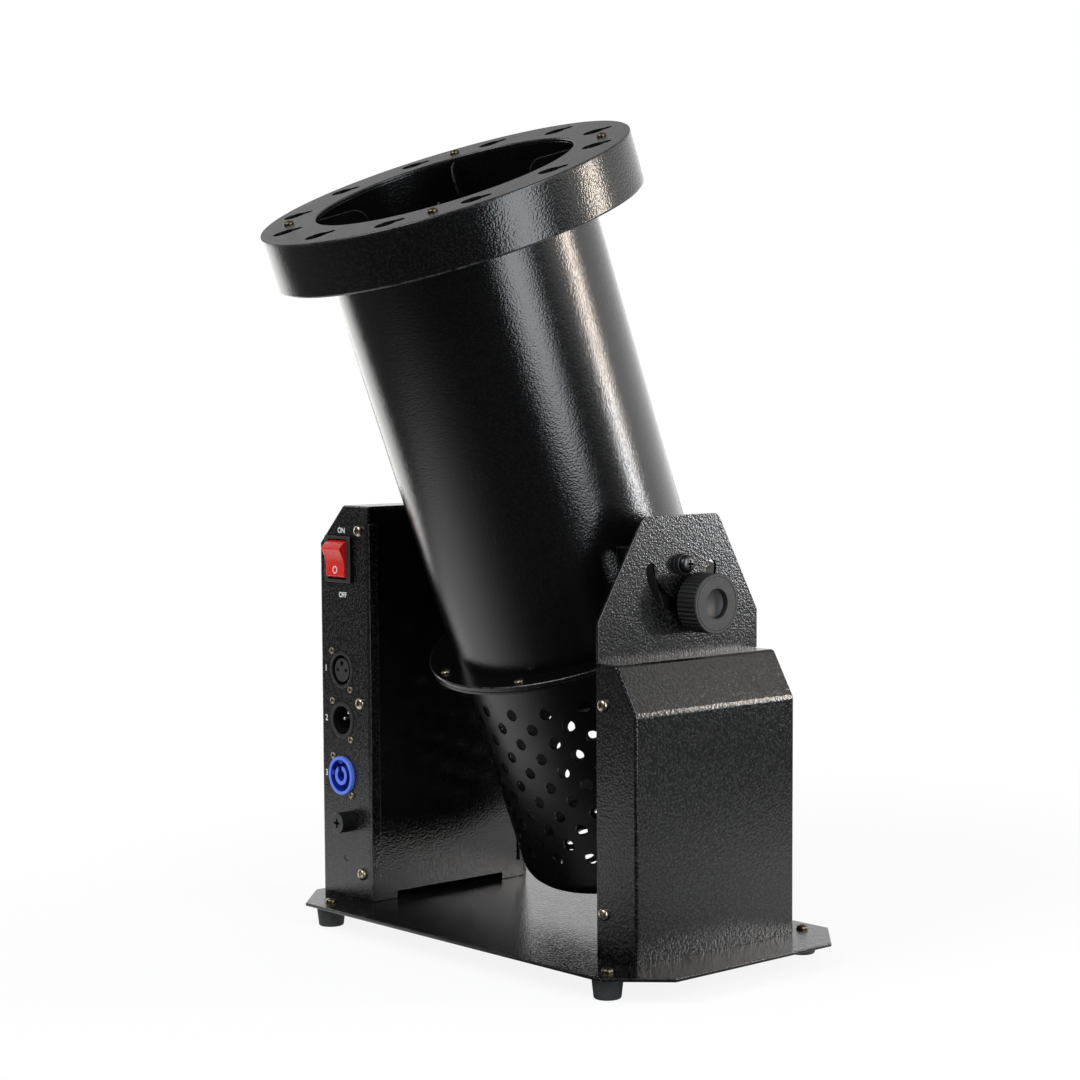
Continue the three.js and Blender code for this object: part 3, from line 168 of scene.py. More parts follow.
def carve(bm, *cutters):
    carved = placed("carved", asMesh("carved", bm))
    cutter = placed("cutter", asMesh("cutter", joined(*[(c, stand, 0) for c in cutters])))
    cut = carved.modifiers.new("cut", "BOOLEAN")
    cut.operation, cut.object, cut.solver = "DIFFERENCE", cutter, "EXACT"
    evaluated = carved.evaluated_get(bpy.context.evaluated_depsgraph_get())
    result = bmesh.new()
    result.from_mesh(evaluated.to_mesh())
    evaluated.to_mesh_clear()
    for end in (carved, cutter):
        mesh = end.data
        bpy.data.objects.remove(end)
        bpy.data.meshes.remove(mesh)
    bmesh.ops.remove_doubles(result, verts=result.verts, dist=weld)
    return result


def copyOfSolid(node, edge, angle=40):
    bm = bmesh.new()
    bm.from_mesh(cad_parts[node].data)
    bmesh.ops.scale(bm, verts=bm.verts, vec=(1 / mm,) * 3)
    bmesh.ops.remove_doubles(bm, verts=bm.verts, dist=0.002)
    bmesh.ops.dissolve_limit(bm, angle_limit=math.radians(0.6), verts=bm.verts, edges=bm.edges)
    return soften(bm, edge, 2, angle)


def markEdges(bm, strip=0.6):  # faces narrower than the strip are bevels, where a coat wears thin
    layer = bm.faces.layers.float.new("edgeWear")
    for face in bm.faces:
        longest = max(e.calc_length() for e in face.edges)
        face[layer] = 1.0 if face.calc_area() < strip * longest else 0.0


def makePiece(name, bm, finishes, body, *nodes, at=stand, slot=None, smooth=40):
    markEdges(bm)
    bm.transform(Matrix.Scale(mm, 4) @ at)
    mesh = asMesh(name, bm)
    for finish in (finishes if isinstance(finishes, (list, tuple)) else (finishes,)):
        mesh.materials.append(finish)
    mesh.shade_smooth()
    mesh.set_sharp_from_angle(angle=math.radians(smooth))
    piece = placed(name, mesh)
    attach(piece, body)
    if nodes:
        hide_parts(*nodes)
    even = piece.modifiers.new("evenShading", "WEIGHTED_NORMAL")
    even.keep_sharp, even.weight = True, 60
    return piece


# Nodes: an input is given by its name or number, as a value or as the socket that feeds it
class Wires:
    def __init__(self, tree):
        self.tree = tree

    def plug(self, value, socket):
        if isinstance(value, bpy.types.NodeSocket):
            self.tree.links.new(value, socket)
        else:
            socket.default_value = value

    def node(self, kind, inputs=None, **settings):
        made = self.tree.nodes.new("ShaderNode" + kind)
        for key, value in settings.items():
            setattr(made, key, value)
        for key, value in (inputs or {}).items():
            self.plug(value, made.inputs[key])
        return made

    def math(self, operation, first, second):
        return self.node("Math", {0: first, 1: second}, operation=operation).outputs[0]

    def dot(self, vector, azimuth):
        way = (math.cos(math.radians(azimuth)), math.sin(math.radians(azimuth)), 0)
        return self.node("VectorMath", {0: vector, 1: way}, operation="DOT_PRODUCT").outputs["Value"]

    def fade(self, value, fromLow, fromHigh, toLow, toHigh):
        return self.node("MapRange", {"Value": value, "From Min": fromLow, "From Max": fromHigh,
                                      "To Min": toLow, "To Max": toHigh},
                         interpolation_type="SMOOTHSTEP").outputs["Result"]


# Finishes: sizes of noise are in millimetres
class Recipe(Wires):
    names = {"color": "Base Color", "roughness": "Roughness", "normal": "Normal", "metal": "Metallic",
             "specular": "Specular IOR Level", "coat": "Coat Weight", "through": "Transmission Weight"}

    def __init__(self, name):
        self.material = bpy.data.materials.new(name)
        self.material.use_nodes = True
        super().__init__(self.material.node_tree)
        self.where = self.node("TexCoord").outputs["Object"]

    def noise(self, sizeMm, detail=2.0, rough=0.5):
        return self.node("TexNoise", {"Scale": 1000.0 / sizeMm, "Detail": detail, "Roughness": rough,
                                      "Vector": self.where}).outputs["Fac"]

    def pebbles(self, sizeMm, swirl):  # rounded cells, swayed so that no two are alike
        sway = self.node("TexNoise", {"Scale": 1000.0 / (sizeMm * 1.6), "Detail": 1.0, "Vector": self.where})
        shifted = self.node("VectorMath", {0: sway.outputs["Color"], 1: (swirl * sizeMm * mm * 2,) * 3,
                                           2: self.where}, operation="MULTIPLY_ADD")
        return self.node("TexVoronoi", {"Scale": 1000.0 / sizeMm, "Smoothness": 0.35,
                                        "Vector": shifted.outputs[0]},
                         feature="SMOOTH_F1").outputs["Distance"]

    def range(self, value, low, high, fromLow=0.0, fromHigh=1.0):
        return self.node("MapRange", {"Value": value, "From Min": fromLow, "From Max": fromHigh,
                                      "To Min": low, "To Max": high}, clamp=fromLow != 0.0).outputs["Result"]

    def mixed(self, share, dark, light):
        dark, light = (c if isinstance(c, bpy.types.NodeSocket) else (*c, 1) for c in (dark, light))
        return self.node("Mix", {0: share, 6: dark, 7: light}, data_type="RGBA").outputs[2]

    def paintedGlints(self, color, pebbles, light):  # the top of each grain is painted a little paler: painted glints standing in for light caught by the grain
        return self.mixed(self.range(pebbles, 1.0, 0.0, 0.08, 0.5), color, (light,) * 3)

    def worn(self, color, light):  # paler where the coat is thin over an edge
        edge = self.node("Attribute", attribute_name="edgeWear").outputs["Fac"]
        broken = self.math("MULTIPLY", edge, self.range(self.noise(4, 3), 0, 1, 0.35, 0.65))
        return self.mixed(broken, color, (light,) * 3)

    def bump(self, height, strength, distanceMm, under=None):
        inputs = {"Strength": strength, "Distance": distanceMm * mm, "Height": height}
        if under is not None:
            inputs["Normal"] = under
        return self.node("Bump", inputs).outputs["Normal"]

    def set(self, **values):
        shader = self.tree.nodes["Principled BSDF"]
        for key, value in values.items():
            self.plug(value, shader.inputs[self.names[key]])
        return self.material


black, soot = (0.0015, 0.0015, 0.0017), (0.003, 0.003, 0.0033)
powder = {"speckle": 0.6, "mottle": 6, "patches": 14, "waves": 30, "wear": 0.03}


def powderCoat(name, grainMm, grainDepth, roughLow, roughHigh, dark=black, light=soot, waves=0.0, glintTone=0.02,
               swirl=0.3, grit=0.8, **extra):
    r = Recipe(name)
    pebbles = r.pebbles(grainMm, swirl)
    specks = r.range(r.noise(grainMm * powder["speckle"], 1.0), 0, grit)
    normal = r.bump(r.math("ADD", r.range(pebbles, 1.0, 0.0), specks), 1.0, grainDepth)
    if waves:
        normal = r.bump(r.noise(powder["waves"], 1.0), 1.0, waves, normal)
    # The paler grain tops are painted glints
    color = r.paintedGlints(r.mixed(r.noise(powder["mottle"], 4), dark, light), pebbles, glintTone)
    return r.set(color=r.worn(color, powder["wear"]), normal=normal,
                 roughness=r.range(r.noise(powder["patches"], 2), roughLow, roughHigh), **extra)


def plainMetal(name, dark, light, roughLow, roughHigh, scratchMm=1.0):
    r = Recipe(name)
    return r.set(color=r.mixed(r.noise(2.5, 4), dark, light), metal=1.0,
                 roughness=r.range(r.noise(scratchMm, 5, 0.6), roughLow, roughHigh, 0.3, 0.7),
                 normal=r.bump(r.noise(scratchMm * 0.4, 3), 0.35, 0.02))


def plastic(name, dark, light, roughLow, roughHigh, grainMm=0.5, grainDepth=0.03, **extra):
    r = Recipe(name)
    return r.set(color=r.mixed(r.noise(5, 3), dark, light),
                 roughness=r.range(r.noise(3, 4), roughLow, roughHigh, 0.3, 0.7),
                 normal=r.bump(r.noise(grainMm, 2), 0.6, grainDepth), **extra)


sheetCoat = powderCoat("sheetCoat", 1.5, 0.11, 0.16, 0.2, glintTone=0.022, swirl=0.22, grit=0.6)
armCoat = powderCoat("armCoat", 1.4, 0.085, 0.19, 0.24, glintTone=0.022, swirl=0.22, grit=0.6)
panelCoat = powderCoat("panelCoat", 1.1, 0.12, 0.18, 0.23, glintTone=0.045, swirl=0.22)
wallCoat = powderCoat("wallCoat", 1.35, 0.10, 0.17, 0.21, glintTone=0.004, swirl=0.22)
tubeCoat = powderCoat("tubeCoat", 1.2, 0.07, 0.14, 0.18, waves=0.03, glintTone=0.006, swirl=0.15)
ringCoat = powderCoat("ringCoat", 1.35, 0.095, 0.15, 0.19, glintTone=0.01, swirl=0.2, grit=0.6)
plateCoat = powderCoat("plateCoat", 1.5, 0.07, 0.2, 0.25, soot, (0.006, 0.006, 0.0065), glintTone=0.015)
# paintedShadeCoat is plain black with little sheen: painted shade for the vanes and brackets that sit in
# shade
paintedShadeCoat = powderCoat("paintedShadeCoat", 1.2, 0.05, 0.4, 0.5, black, black, glintTone=0.003, specular=0.15)
cageCoat = powderCoat("cageCoat", 1.3, 0.06, 0.28, 0.36, glintTone=0.006)
bronze = plainMetal("bronze", (0.12, 0.10, 0.07), (0.42, 0.36, 0.26), 0.24, 0.38, 0.8)
nickel = plainMetal("nickel", (0.30, 0.25, 0.18), (0.62, 0.55, 0.44), 0.22, 0.36)
darkBrass = plainMetal("darkBrass", (0.07, 0.055, 0.035), (0.20, 0.16, 0.10), 0.28, 0.42)
steel = plainMetal("steel", (0.38, 0.38, 0.39), (0.60, 0.60, 0.61), 0.25, 0.42)
darkSteel = plainMetal("darkSteel", (0.05, 0.05, 0.052), (0.11, 0.11, 0.11), 0.3, 0.45)
aluminium = plainMetal("aluminium", (0.48, 0.49, 0.50), (0.66, 0.67, 0.68), 0.35, 0.5)
silver = plainMetal("silver", (0.70, 0.70, 0.70), (0.92, 0.92, 0.92), 0.35, 0.5)
blackPlastic = plastic("blackPlastic", (0.010, 0.010, 0.011), (0.017, 0.017, 0.018), 0.36, 0.5)
# paintedLitPlastic is the black plastic painted a little paler: painted light on the faces that turn to the
# lamps
paintedLitPlastic = plastic("paintedLitPlastic", (0.018, 0.018, 0.019), (0.027, 0.027, 0.028), 0.4, 0.52, 0.4, 0.02)
knobPlastic = plastic("knobPlastic", (0.009, 0.009, 0.0095), (0.015, 0.015, 0.0155), 0.5, 0.62, 0.35, 0.02)
redPlastic = plastic("redPlastic", (0.50, 0.010, 0.008), (0.66, 0.018, 0.012), 0.22, 0.32, 0.6, 0.01,
                     coat=0.25)
bluePlastic = plastic("bluePlastic", (0.080, 0.155, 0.66), (0.115, 0.205, 0.78), 0.34, 0.46)
# paintedShadeBlue is the blue plastic painted darker: painted shade on the inlet's core, keys and recess
# floor
paintedShadeBlue = plastic("paintedShadeBlue", (0.008, 0.024, 0.30), (0.014, 0.036, 0.40), 0.5, 0.6, specular=0.25)
# paintedShadeBlack is the black plastic painted darker and with less sheen: painted shade in recesses and on
# parts that sit in shade
paintedShadeBlack = plastic("paintedShadeBlack", (0.002, 0.002, 0.002), (0.004, 0.004, 0.004), 0.6, 0.7, specular=0.2)
rubber = plastic("rubber", (0.016, 0.018, 0.018), (0.028, 0.030, 0.030), 0.75, 0.9, 0.7, 0.06)
whitePrint = plastic("whitePrint", (0.60, 0.62, 0.62), (0.78, 0.80, 0.80), 0.5, 0.65, 0.3, 0.005)
faintPrint = plastic("faintPrint", (0.46, 0.10, 0.09), (0.60, 0.16, 0.14), 0.4, 0.5, 0.3, 0.005)
boardGreen = plastic("boardGreen", (0.010, 0.08, 0.03), (0.02, 0.13, 0.05), 0.4, 0.55)
motorPaint = plastic("motorPaint", (0.008, 0.008, 0.009), (0.014, 0.014, 0.015), 0.4, 0.55)
fuseGlass = plastic("fuseGlass", (0.80, 0.84, 0.84), (0.86, 0.90, 0.90), 0.04, 0.08, 1.0, 0.002, through=0.9)
print("finishes made")

# Camera at the photograph's angle
camera = {"from": (1128.16, -997.75, 329.02), "azimuth": 47.21, "pitch": 4.52, "roll": -0.20,
          "lens": 81.32, "sensor": 36.0, "shift": (-0.0682, 0.0401), "clip": (0.05, 50)}


def placeCamera():
    az, pitch, roll = (math.radians(camera[k]) for k in ("azimuth", "pitch", "roll"))
    ahead = Vector((-math.sin(az) * math.cos(pitch), math.cos(az) * math.cos(pitch), -math.sin(pitch)))
    right = Vector((math.cos(az), math.sin(az), 0))
    up = right.cross(ahead)
    side = right * math.cos(roll) + up * math.sin(roll)
    top = up * math.cos(roll) - right * math.sin(roll)
    lensData = bpy.data.cameras.new("view")
    lensData.lens, lensData.sensor_width = camera["lens"], camera["sensor"]
    lensData.shift_x, lensData.shift_y = camera["shift"]
    lensData.clip_start, lensData.clip_end = camera["clip"]
    view = placed("view", lensData)
    axes = Matrix((side, top, -ahead)).transposed().to_4x4()
    view.matrix_world = Matrix.Translation(Vector(camera["from"]) * mm) @ axes
    bpy.context.scene.camera = view


placeCamera()

# Studio, in metres: softboxes stand round the object, and their glow is what the coat mirrors
studio = {
    "lamps": {  # azimuth, distance, lower and upper edge, width, glow and color
        "rightCool": (-4, 1.05, 0.0, 1.25, 0.42, 6.6, (0.90, 0.96, 1.0)),
        "backStripLow": (49, 1.3, 0.17, 0.36, 0.14, 34.0, (0.95, 0.97, 1.0)),
        "backStripHigh": (49, 1.3, 0.36, 0.76, 0.13, 34.0, (1.0, 0.87, 0.75)),
        "leftSide": (178, 0.78, 0.0, 0.62, 0.46, 2.2, (1.0, 0.99, 0.97)),
        "frontFill": (-95, 1.5, 1.0, 2.0, 1.2, 7.0, (0.96, 0.98, 1.0)),
        "slopeGlow": (58, 1.4, 1.0, 1.3, 0.4, 1.3, (1.0, 0.97, 0.93)),
    },
    "aimHeight": 0.3, "aimedAbove": 0.9,  # a lamp that hangs higher than this looks down at the object
    "backdropAzimuth": 105, "backdropFade": (-0.1, 0.35), "horizonFade": (0.06, 0.34), "horizon": 1.6,
    "above": 0.40, "room": 0.03, "ambient": 0.3,
    "floorLevel": -0.013, "floorReach": 30.0, "floorPaper": (0.86, 0.86, 0.86, 1), "floorRough": 0.9,
    "floorNear": 1.25, "floorFar": 0.15, "floorFade": (0.46, 0.78), "floorWhite": (0.88, 1.0),
    "floorWhiteFade": (0.3, 0.8), "cameraAzimuth": -42, "floorPaintedShadow": 0.03, "floorPaintedShadowFade": (-0.1, 1.0),
}


def addLamps():
    for name, (azimuth, away, low, high, width, glow, color) in studio["lamps"].items():
        data = bpy.data.lights.new(name, "AREA")
        data.shape, data.size, data.size_y = "RECTANGLE", width, high - low
        data.energy = glow * math.pi * data.size * data.size_y
        data.color = color
        light = placed(name, data)
        angle = math.radians(azimuth)
        light.location = (away * math.cos(angle), away * math.sin(angle), (low + high) / 2)
        aim = studio["aimHeight"] if low > studio["aimedAbove"] else light.location.z
        light.rotation_euler = (light.location - Vector((0, 0, aim))).to_track_quat("Z", "Y").to_euler()
        light.visible_camera = False


def paintWorld():
    world = bpy.data.worlds.new("surroundings")
    bpy.context.scene.world = world
    world.use_nodes = True
    world.node_tree.nodes.clear()
    g = Wires(world.node_tree)
    rays, way = g.node("LightPath").outputs, g.node("TexCoord").outputs["Generated"]
    height = g.node("SeparateXYZ", {0: way}).outputs["Z"]
    band = g.fade(height, *studio["horizonFade"], studio["horizon"], studio["above"])
    behind = g.fade(g.dot(way, studio["backdropAzimuth"]), *studio["backdropFade"], studio["room"], band)
    mirrored = g.math("MULTIPLY", rays["Is Glossy Ray"], behind)
    white = g.math("MAXIMUM", rays["Is Camera Ray"], rays["Is Transmission Ray"])
    soft = g.math("MULTIPLY", rays["Is Diffuse Ray"], studio["ambient"])
    strength = g.math("ADD", g.math("MAXIMUM", white, mirrored), soft)
    back = g.node("Background", {"Color": (1, 1, 1, 1), "Strength": strength})
    g.node("OutputWorld", {0: back.outputs[0]})


def layFloor():
    bm = bmesh.new()
    bmesh.ops.create_grid(bm, x_segments=1, y_segments=1, size=studio["floorReach"])
    bmesh.ops.translate(bm, verts=bm.verts, vec=(0, 0, studio["floorLevel"]))
    floor = placed("floor", asMesh("floor", bm))
    material = bpy.data.materials.new("floorPaper")
    material.use_nodes = True
    floor.data.materials.append(material)
    g = Wires(material.node_tree)
    paper = g.tree.nodes["Principled BSDF"]
    paper.inputs["Base Color"].default_value = studio["floorPaper"]
    paper.inputs["Roughness"].default_value = studio["floorRough"]
    rays, spot = g.node("LightPath").outputs, g.node("TexCoord").outputs["Object"]
    reach = g.node("VectorMath", {0: spot}, operation="LENGTH").outputs["Value"]
    way = g.node("VectorMath", {0: spot}, operation="NORMALIZE").outputs[0]
    # Glossy rays see the floor glow: a painted pool of light near the object, fading with distance, and a
    # painted shadow on the side toward the camera
    lit = g.fade(reach, *studio["floorFade"], studio["floorNear"], studio["floorFar"])
    lit = g.fade(g.dot(way, studio["cameraAzimuth"]), *studio["floorPaintedShadowFade"], lit, studio["floorPaintedShadow"])
    share = g.fade(reach, *studio["floorWhiteFade"], *studio["floorWhite"])
    glow, mirror = g.node("Emission"), g.node("Emission", {"Strength": lit})
    blend = g.node("MixShader", {0: g.math("MULTIPLY", rays["Is Camera Ray"], share), 1: paper.outputs[0],
                                 2: glow.outputs[0]})
    last = g.node("MixShader", {0: rays["Is Glossy Ray"], 1: blend.outputs[0], 2: mirror.outputs[0]})
    g.plug(last.outputs[0], g.tree.nodes["Material Output"].inputs["Surface"])


addLamps()
paintWorld()
layFloor()
bpy.context.scene.view_settings.view_transform = "Standard"
print("camera and studio set")

# Pan head screws, one mesh for each size and many copies
screwKinds = {  # radius and height of the head, radius and length of the shank
    "cover": (3.8, 2.6, 2.0, 7.0), "foot": (3.6, 2.4, 2.5, 11.0), "mouth": (3.1, 2.0, 2.0, 7.0),
    "socket": (2.3, 1.4, 1.3, 5.0), "flange": (3.2, 1.6, 1.9, 5.0), "pivot": (5.4, 4.2, 4.0, 15.0)}
# Shares of the head's radius and height: its dome, then the cross cut into it
dome = [(0.96, 0), (1, 0.12), (0.985, 0.42), (0.88, 0.72), (0.68, 0.9), (0.4, 0.985), (0, 1)]
cross = {"reach": 0.58, "half": 0.14, "floor": 0.2, "over": 1.4, "narrowed": (0.5, 0.7, 1.0)}


def panHead(kind):
    r, h, shank, length = screwKinds[kind]
    bm = spinShape([(0, -length), (shank, -length), (shank, 0)] + [(r * a, h * b) for a, b in dome], 32)
    for angle in (0, 90):
        wing = block(-r * cross["reach"], r * cross["reach"], -r * cross["half"], r * cross["half"],
                     h * cross["floor"], h * cross["over"])
        low = [v for v in wing.verts if v.co.z < h * 0.5]
        bmesh.ops.scale(wing, verts=low, vec=cross["narrowed"])
        bm = carve(bm, laid(wing, turned(angle, "Z")))
    return bm


screwMeshes = {kind: asMesh(kind + "Screw", panHead(kind)) for kind in screwKinds}


def addScrew(name, kind, at, body, *nodes, finish=nickel, slot="nickel_screws", twist=0.0):
    bm = bmesh.new()
    bm.from_mesh(screwMeshes[kind])
    makePiece(name, bm, finish, body, *nodes, at=at @ turned(twist, "Z"), slot=slot)


def addCoverScrew(column, side, k, x, z, twist):
    at = onFront(x, z) if side == "Front" else moved(x, place["back"], z) @ turned(-90, "X")
    addScrew("%sScrew%s%d" % (column, side, k), "cover", at, "stand",
             "%s_screw_%s_%d" % (column, side.lower(), k), twist=twist)


# Base plate on its feet
base = {"width": 340.0, "depth": 188.5, "cut": 30.0, "thickness": 2.0, "edge": 0.5,
        "footX": 131.0, "footY": 80.5, "footTop": 9.2, "footSole": 7.9, "footHeight": 12.9,
        "hollow": (3.6, 4.0, 4.0), "sideTop": -1.2, "underPlate": -0.1, "footEdge": 1.1}


def buildBase():
    x, y, c = base["width"] / 2, base["depth"] / 2, base["cut"]
    bm = slab([(-x + c, -y), (x - c, -y), (x, -y + c), (x, y - c), (x - c, y), (-x + c, y), (-x, y - c),
               (-x, -y + c)], base["thickness"])
    soften(bm, base["edge"], 3)
    makePiece("basePlate", bm, sheetCoat, "stand", "base_plate", slot="powder_coat")
    sole, top, under = -base["footHeight"], base["footTop"], base["underPlate"]
    narrow, wide, deep = base["hollow"]
    for k, (sx, sy) in enumerate([(-1, -1), (1, -1), (1, 1), (-1, 1)]):
        at = moved(sx * base["footX"], sy * base["footY"], 0)
        foot = spinShape([(0, sole + deep), (narrow, sole + deep), (wide, sole), (base["footSole"], sole),
                          (top, base["sideTop"]), (top, under), (0, under)], 48)
        soften(foot, base["footEdge"], 4, 50)
        makePiece("foot%d" % (k + 1), foot, rubber, "stand", "foot_%d" % (k + 1), at=at, slot="feet_rubber")
        addScrew("footBolt%d" % (k + 1), "foot", at @ moved(0, 0, base["thickness"]), "stand",
                 "foot_bolt_%d" % (k + 1), finish=darkBrass, twist=20 + 35 * k)


buildBase()
print("base built")

# Folded sheet covers: an outline seen from the front, given depth, then two sides taken away
sheet = {"thickness": 1.5, "fold": 1.9, "edge": 0.35, "facing": 0.9}


def foldedSheet(outline, openSide):  # open to the right with 1 and to the left with -1, and always below
    bm = laid(slab(outline, place["back"] - place["front"]), moved(0, place["back"], 0) @ layAlongY)
    bm.normal_update()
    gone = [f for f in bm.faces if f.normal.z < -sheet["facing"] or f.normal.x * openSide > sheet["facing"]]
    bmesh.ops.delete(bm, geom=gone, context="FACES")
    soften(bm, sheet["fold"], 4)
    bmesh.ops.recalc_face_normals(bm, faces=bm.faces)
    middle = sum((v.co for v in bm.verts), Vector()) / len(bm.verts)
    widest = max(bm.faces, key=lambda f: f.calc_area())
    if widest.normal.dot(widest.calc_center_median() - middle) <= 0:
        bmesh.ops.reverse_faces(bm, faces=bm.faces)
    bmesh.ops.solidify(bm, geom=bm.faces[:], thickness=sheet["thickness"])
    return bm


controls = {"x": -140.2, "left": -162.5, "cut": 24.5, "lipStart": 13.0, "lipEnd": 245.2, "lipDepth": 7.0,
            "lipLap": 2.0, "lipGap": 0.1, "lipEdge": 0.5, "screwX": -120.0, "screwZ": (19.0, 129.65, 240.3),
            "dimple": (-137.7, 27.1), "dimpleRadius": 2.2, "dimpleShare": 0.35,
            "socketZ": {"out": 149.7, "in": 117.2, "power": 81.1}, "socketHole": 12.15,
            "switchZ": 221.6, "window": (13.05, 13.8), "fuse": (-133.0, 52.0), "fuseHole": 6.1,
            "cutDepth": 6.0, "between": (38.0, 65.0, 99.2, 133.5, 170.0, 203.0)}


def buildControlColumn():
    left, wall, top, c = controls["left"], place["leftWall"], place["top"], controls["cut"]
    bm = foldedSheet([(left, place["seat"]), (wall, place["seat"]), (wall, top), (left + c, top),
                      (left, top - c)], 1)
    for z in controls["between"]:  # one hole to a face keeps the faces simple
        bmesh.ops.bisect_plane(bm, geom=bm.verts[:] + bm.edges[:] + bm.faces[:], plane_co=(0, 0, z),
                               plane_no=(0, 0, 1))
    x, deep = controls["x"], controls["cutDepth"]
    wide, high = controls["window"]
    holes = [laid(rod(controls["socketHole"], -deep, deep, 64), onFront(x, z))
             for z in controls["socketZ"].values()]
    window = laid(block(-wide, wide, -high, high, -deep, deep), onFront(x, controls["switchZ"]))
    fuseHole = laid(rod(controls["fuseHole"], -deep, deep), onFront(*controls["fuse"]))
    dimple = bmesh.new()
    bmesh.ops.create_uvsphere(dimple, u_segments=24, v_segments=12, radius=controls["dimpleRadius"])
    bmesh.ops.scale(dimple, verts=dimple.verts, vec=(1, 1, controls["dimpleShare"]))
    bm = carve(bm, *holes, window, fuseHole, laid(dimple, onFront(*controls["dimple"])))
    makePiece("controlCover", bm, panelCoat, "stand", "control_cover", slot="powder_coat")

    t, d = sheet["thickness"], controls["lipDepth"]
    w, lap = wall + controls["lipGap"], wall - controls["lipLap"]
    for name, face, way in (("controlLipFront", place["front"], 1), ("controlLipBack", place["back"], -1)):
        lip = slab([(lap, face), (w + t, face), (w + t, face + way * d), (w, face + way * d),
                    (w, face + way * t), (lap, face + way * t)], controls["lipEnd"] - controls["lipStart"])
        soften(lip, controls["lipEdge"], 3)
        makePiece(name, laid(lip, moved(0, 0, controls["lipStart"])), sheetCoat, "stand", slot="powder_coat")

    makePiece("controlUpright", copyOfSolid("control_upright", sheet["edge"], 30), wallCoat, "stand",
              "control_upright", slot="powder_coat")

    low, middle, high = controls["screwZ"]
    for k, z in enumerate((low, middle, high), 1):
        addCoverScrew("control", "Front", k, controls["screwX"], z, twist=40 * k - 28)
    for k, z in enumerate((low, high), 1):
        addCoverScrew("control", "Back", k, controls["screwX"], z, twist=25 * k + 5)


buildControlColumn()
print("control column built")

# Rocker switch; the key turns about a pin behind the panel
switch = {"width": 27.6, "height": 30.0, "proud": 2.6, "gap": 0.1, "corner": 1.2, "edge": 0.45,
          "opening": (19.9, 25.9), "steep": 0.4, "over": 5, "body": (12.95, 13.7), "bodySpan": (-19.0, 0.15),
          "well": -13.4, "blade": (2.4, 0.4), "bladePitch": 8, "bladeEnds": (-27, -18.5), "pinDepth": 4.6,
          "pinSet": 2.2, "pin": (1.5, 11.1), "rockerWidth": 19.2, "rockerBack": (3, 7.5), "rockerEdge": 0.4,
          "tilt": 12.0, "reach": 12.73, "hollow": 7.3, "tip": 0.707, "bowl": 1.5, "mark": (-0.06, 0.08),
          "ringMark": (1.75, 2.3), "ringHeight": -5.2, "ringStretch": 1.05, "strokeMark": (0.28, 1.7),
          "strokeHeight": 4.6}


def buildSwitch():
    z = controls["switchZ"]
    at = onFront(controls["x"], z)
    w, h, gap, over = switch["width"] / 2, switch["height"] / 2, switch["gap"], switch["over"]
    ow, oh = switch["opening"][0] / 2, switch["opening"][1] / 2
    bezel = slab(rectangle(-w, w, -h, h), switch["proud"] - gap, switch["corner"])
    soften(laid(bezel, moved(0, 0, gap)), switch["edge"], 3)
    bezel = carve(bezel, block(-ow, ow, -oh, oh, -1, over))
    bw, bh = switch["body"]
    inner = carve(block(-bw, bw, -bh, bh, *switch["bodySpan"]), block(-ow, ow, -oh, oh, switch["well"], over))
    wide, thin = switch["blade"]
    pitch = switch["bladePitch"]
    blades = [(block(-wide, wide, k * pitch - thin, k * pitch + thin, *switch["bladeEnds"]), stand, 1)
              for k in (-1, 0, 1)]
    # The bezel's face is painted paler, painted light, and the walls of bezel and opening darker, painted
    # shade
    bm = tint(joined((bezel, stand, 0), (inner, stand, 2), *blades), 3,
              lambda c, n: c.z > gap and abs(n.z) < switch["steep"])  # the walls of bezel and opening get painted shade
    makePiece("rockerBezel", bm, (paintedLitPlastic, nickel, blackPlastic, paintedShadeBlack), "stand", "rocker_bezel",
              at=at, slot="black_plastic")

    # Side view of the key: x points into the panel, the ends are arcs about the pin, the face a shallow V
    reach, hollow, half = switch["reach"], switch["hollow"], switch["rockerWidth"] / 2
    tip, bowl = switch["tip"], switch["bowl"]
    backX, backY = switch["rockerBack"]
    arc = [(-reach * math.cos(math.radians(a)), reach * math.sin(math.radians(a))) for a in range(45, 91, 9)]
    face = [(-hollow - (reach * tip - hollow) * abs(t) ** bowl, reach * tip * t)
            for t in [k / 8.0 for k in range(-7, 8)]]
    key = slab([(backX, backY)] + arc[::-1] + face[::-1] + [(x, -y) for x, y in arc] + [(backX, -backY)],
               2 * half)
    soften(key, switch["rockerEdge"], 3, 35)
    pinRadius, pinReach = switch["pin"]
    bm = joined((key, layAlongX @ moved(0, 0, -half), 0),
                (rod(pinRadius, -pinReach, pinReach, 24), layAlongX, 0))
    keyAt = moved(controls["x"], place["front"] - switch["pinSet"] + switch["pinDepth"], z) @ \
        turned(switch["tilt"], "X")
    makePiece("rocker", bm, redPlastic, "switch_rocker", "rocker", at=keyAt, slot="red_plastic")

    def onKey(height):  # a spot on the face, turned to lie flat on it
        t = abs(height) / (reach * tip)
        depth = -hollow - (reach * tip - hollow) * t ** bowl
        slope = math.degrees(math.atan2((reach * tip - hollow) * bowl * t ** 0.5, reach * tip))
        return moved(0, depth, height) @ turned(math.copysign(slope, height), "X") @ layAlongY

    stretch = Matrix.Diagonal((switch["ringStretch"], switch["ringStretch"], 1, 1))
    makePiece("rockerOffMark", ringShape(*switch["ringMark"], *switch["mark"], 40), whitePrint,
              "switch_rocker", at=keyAt @ onKey(switch["ringHeight"]) @ stretch)
    wide, high = switch["strokeMark"]
    makePiece("rockerOnMark", block(-wide, wide, -high, high, *switch["mark"]), faintPrint, "switch_rocker",
              at=keyAt @ onKey(switch["strokeHeight"]))


buildSwitch()

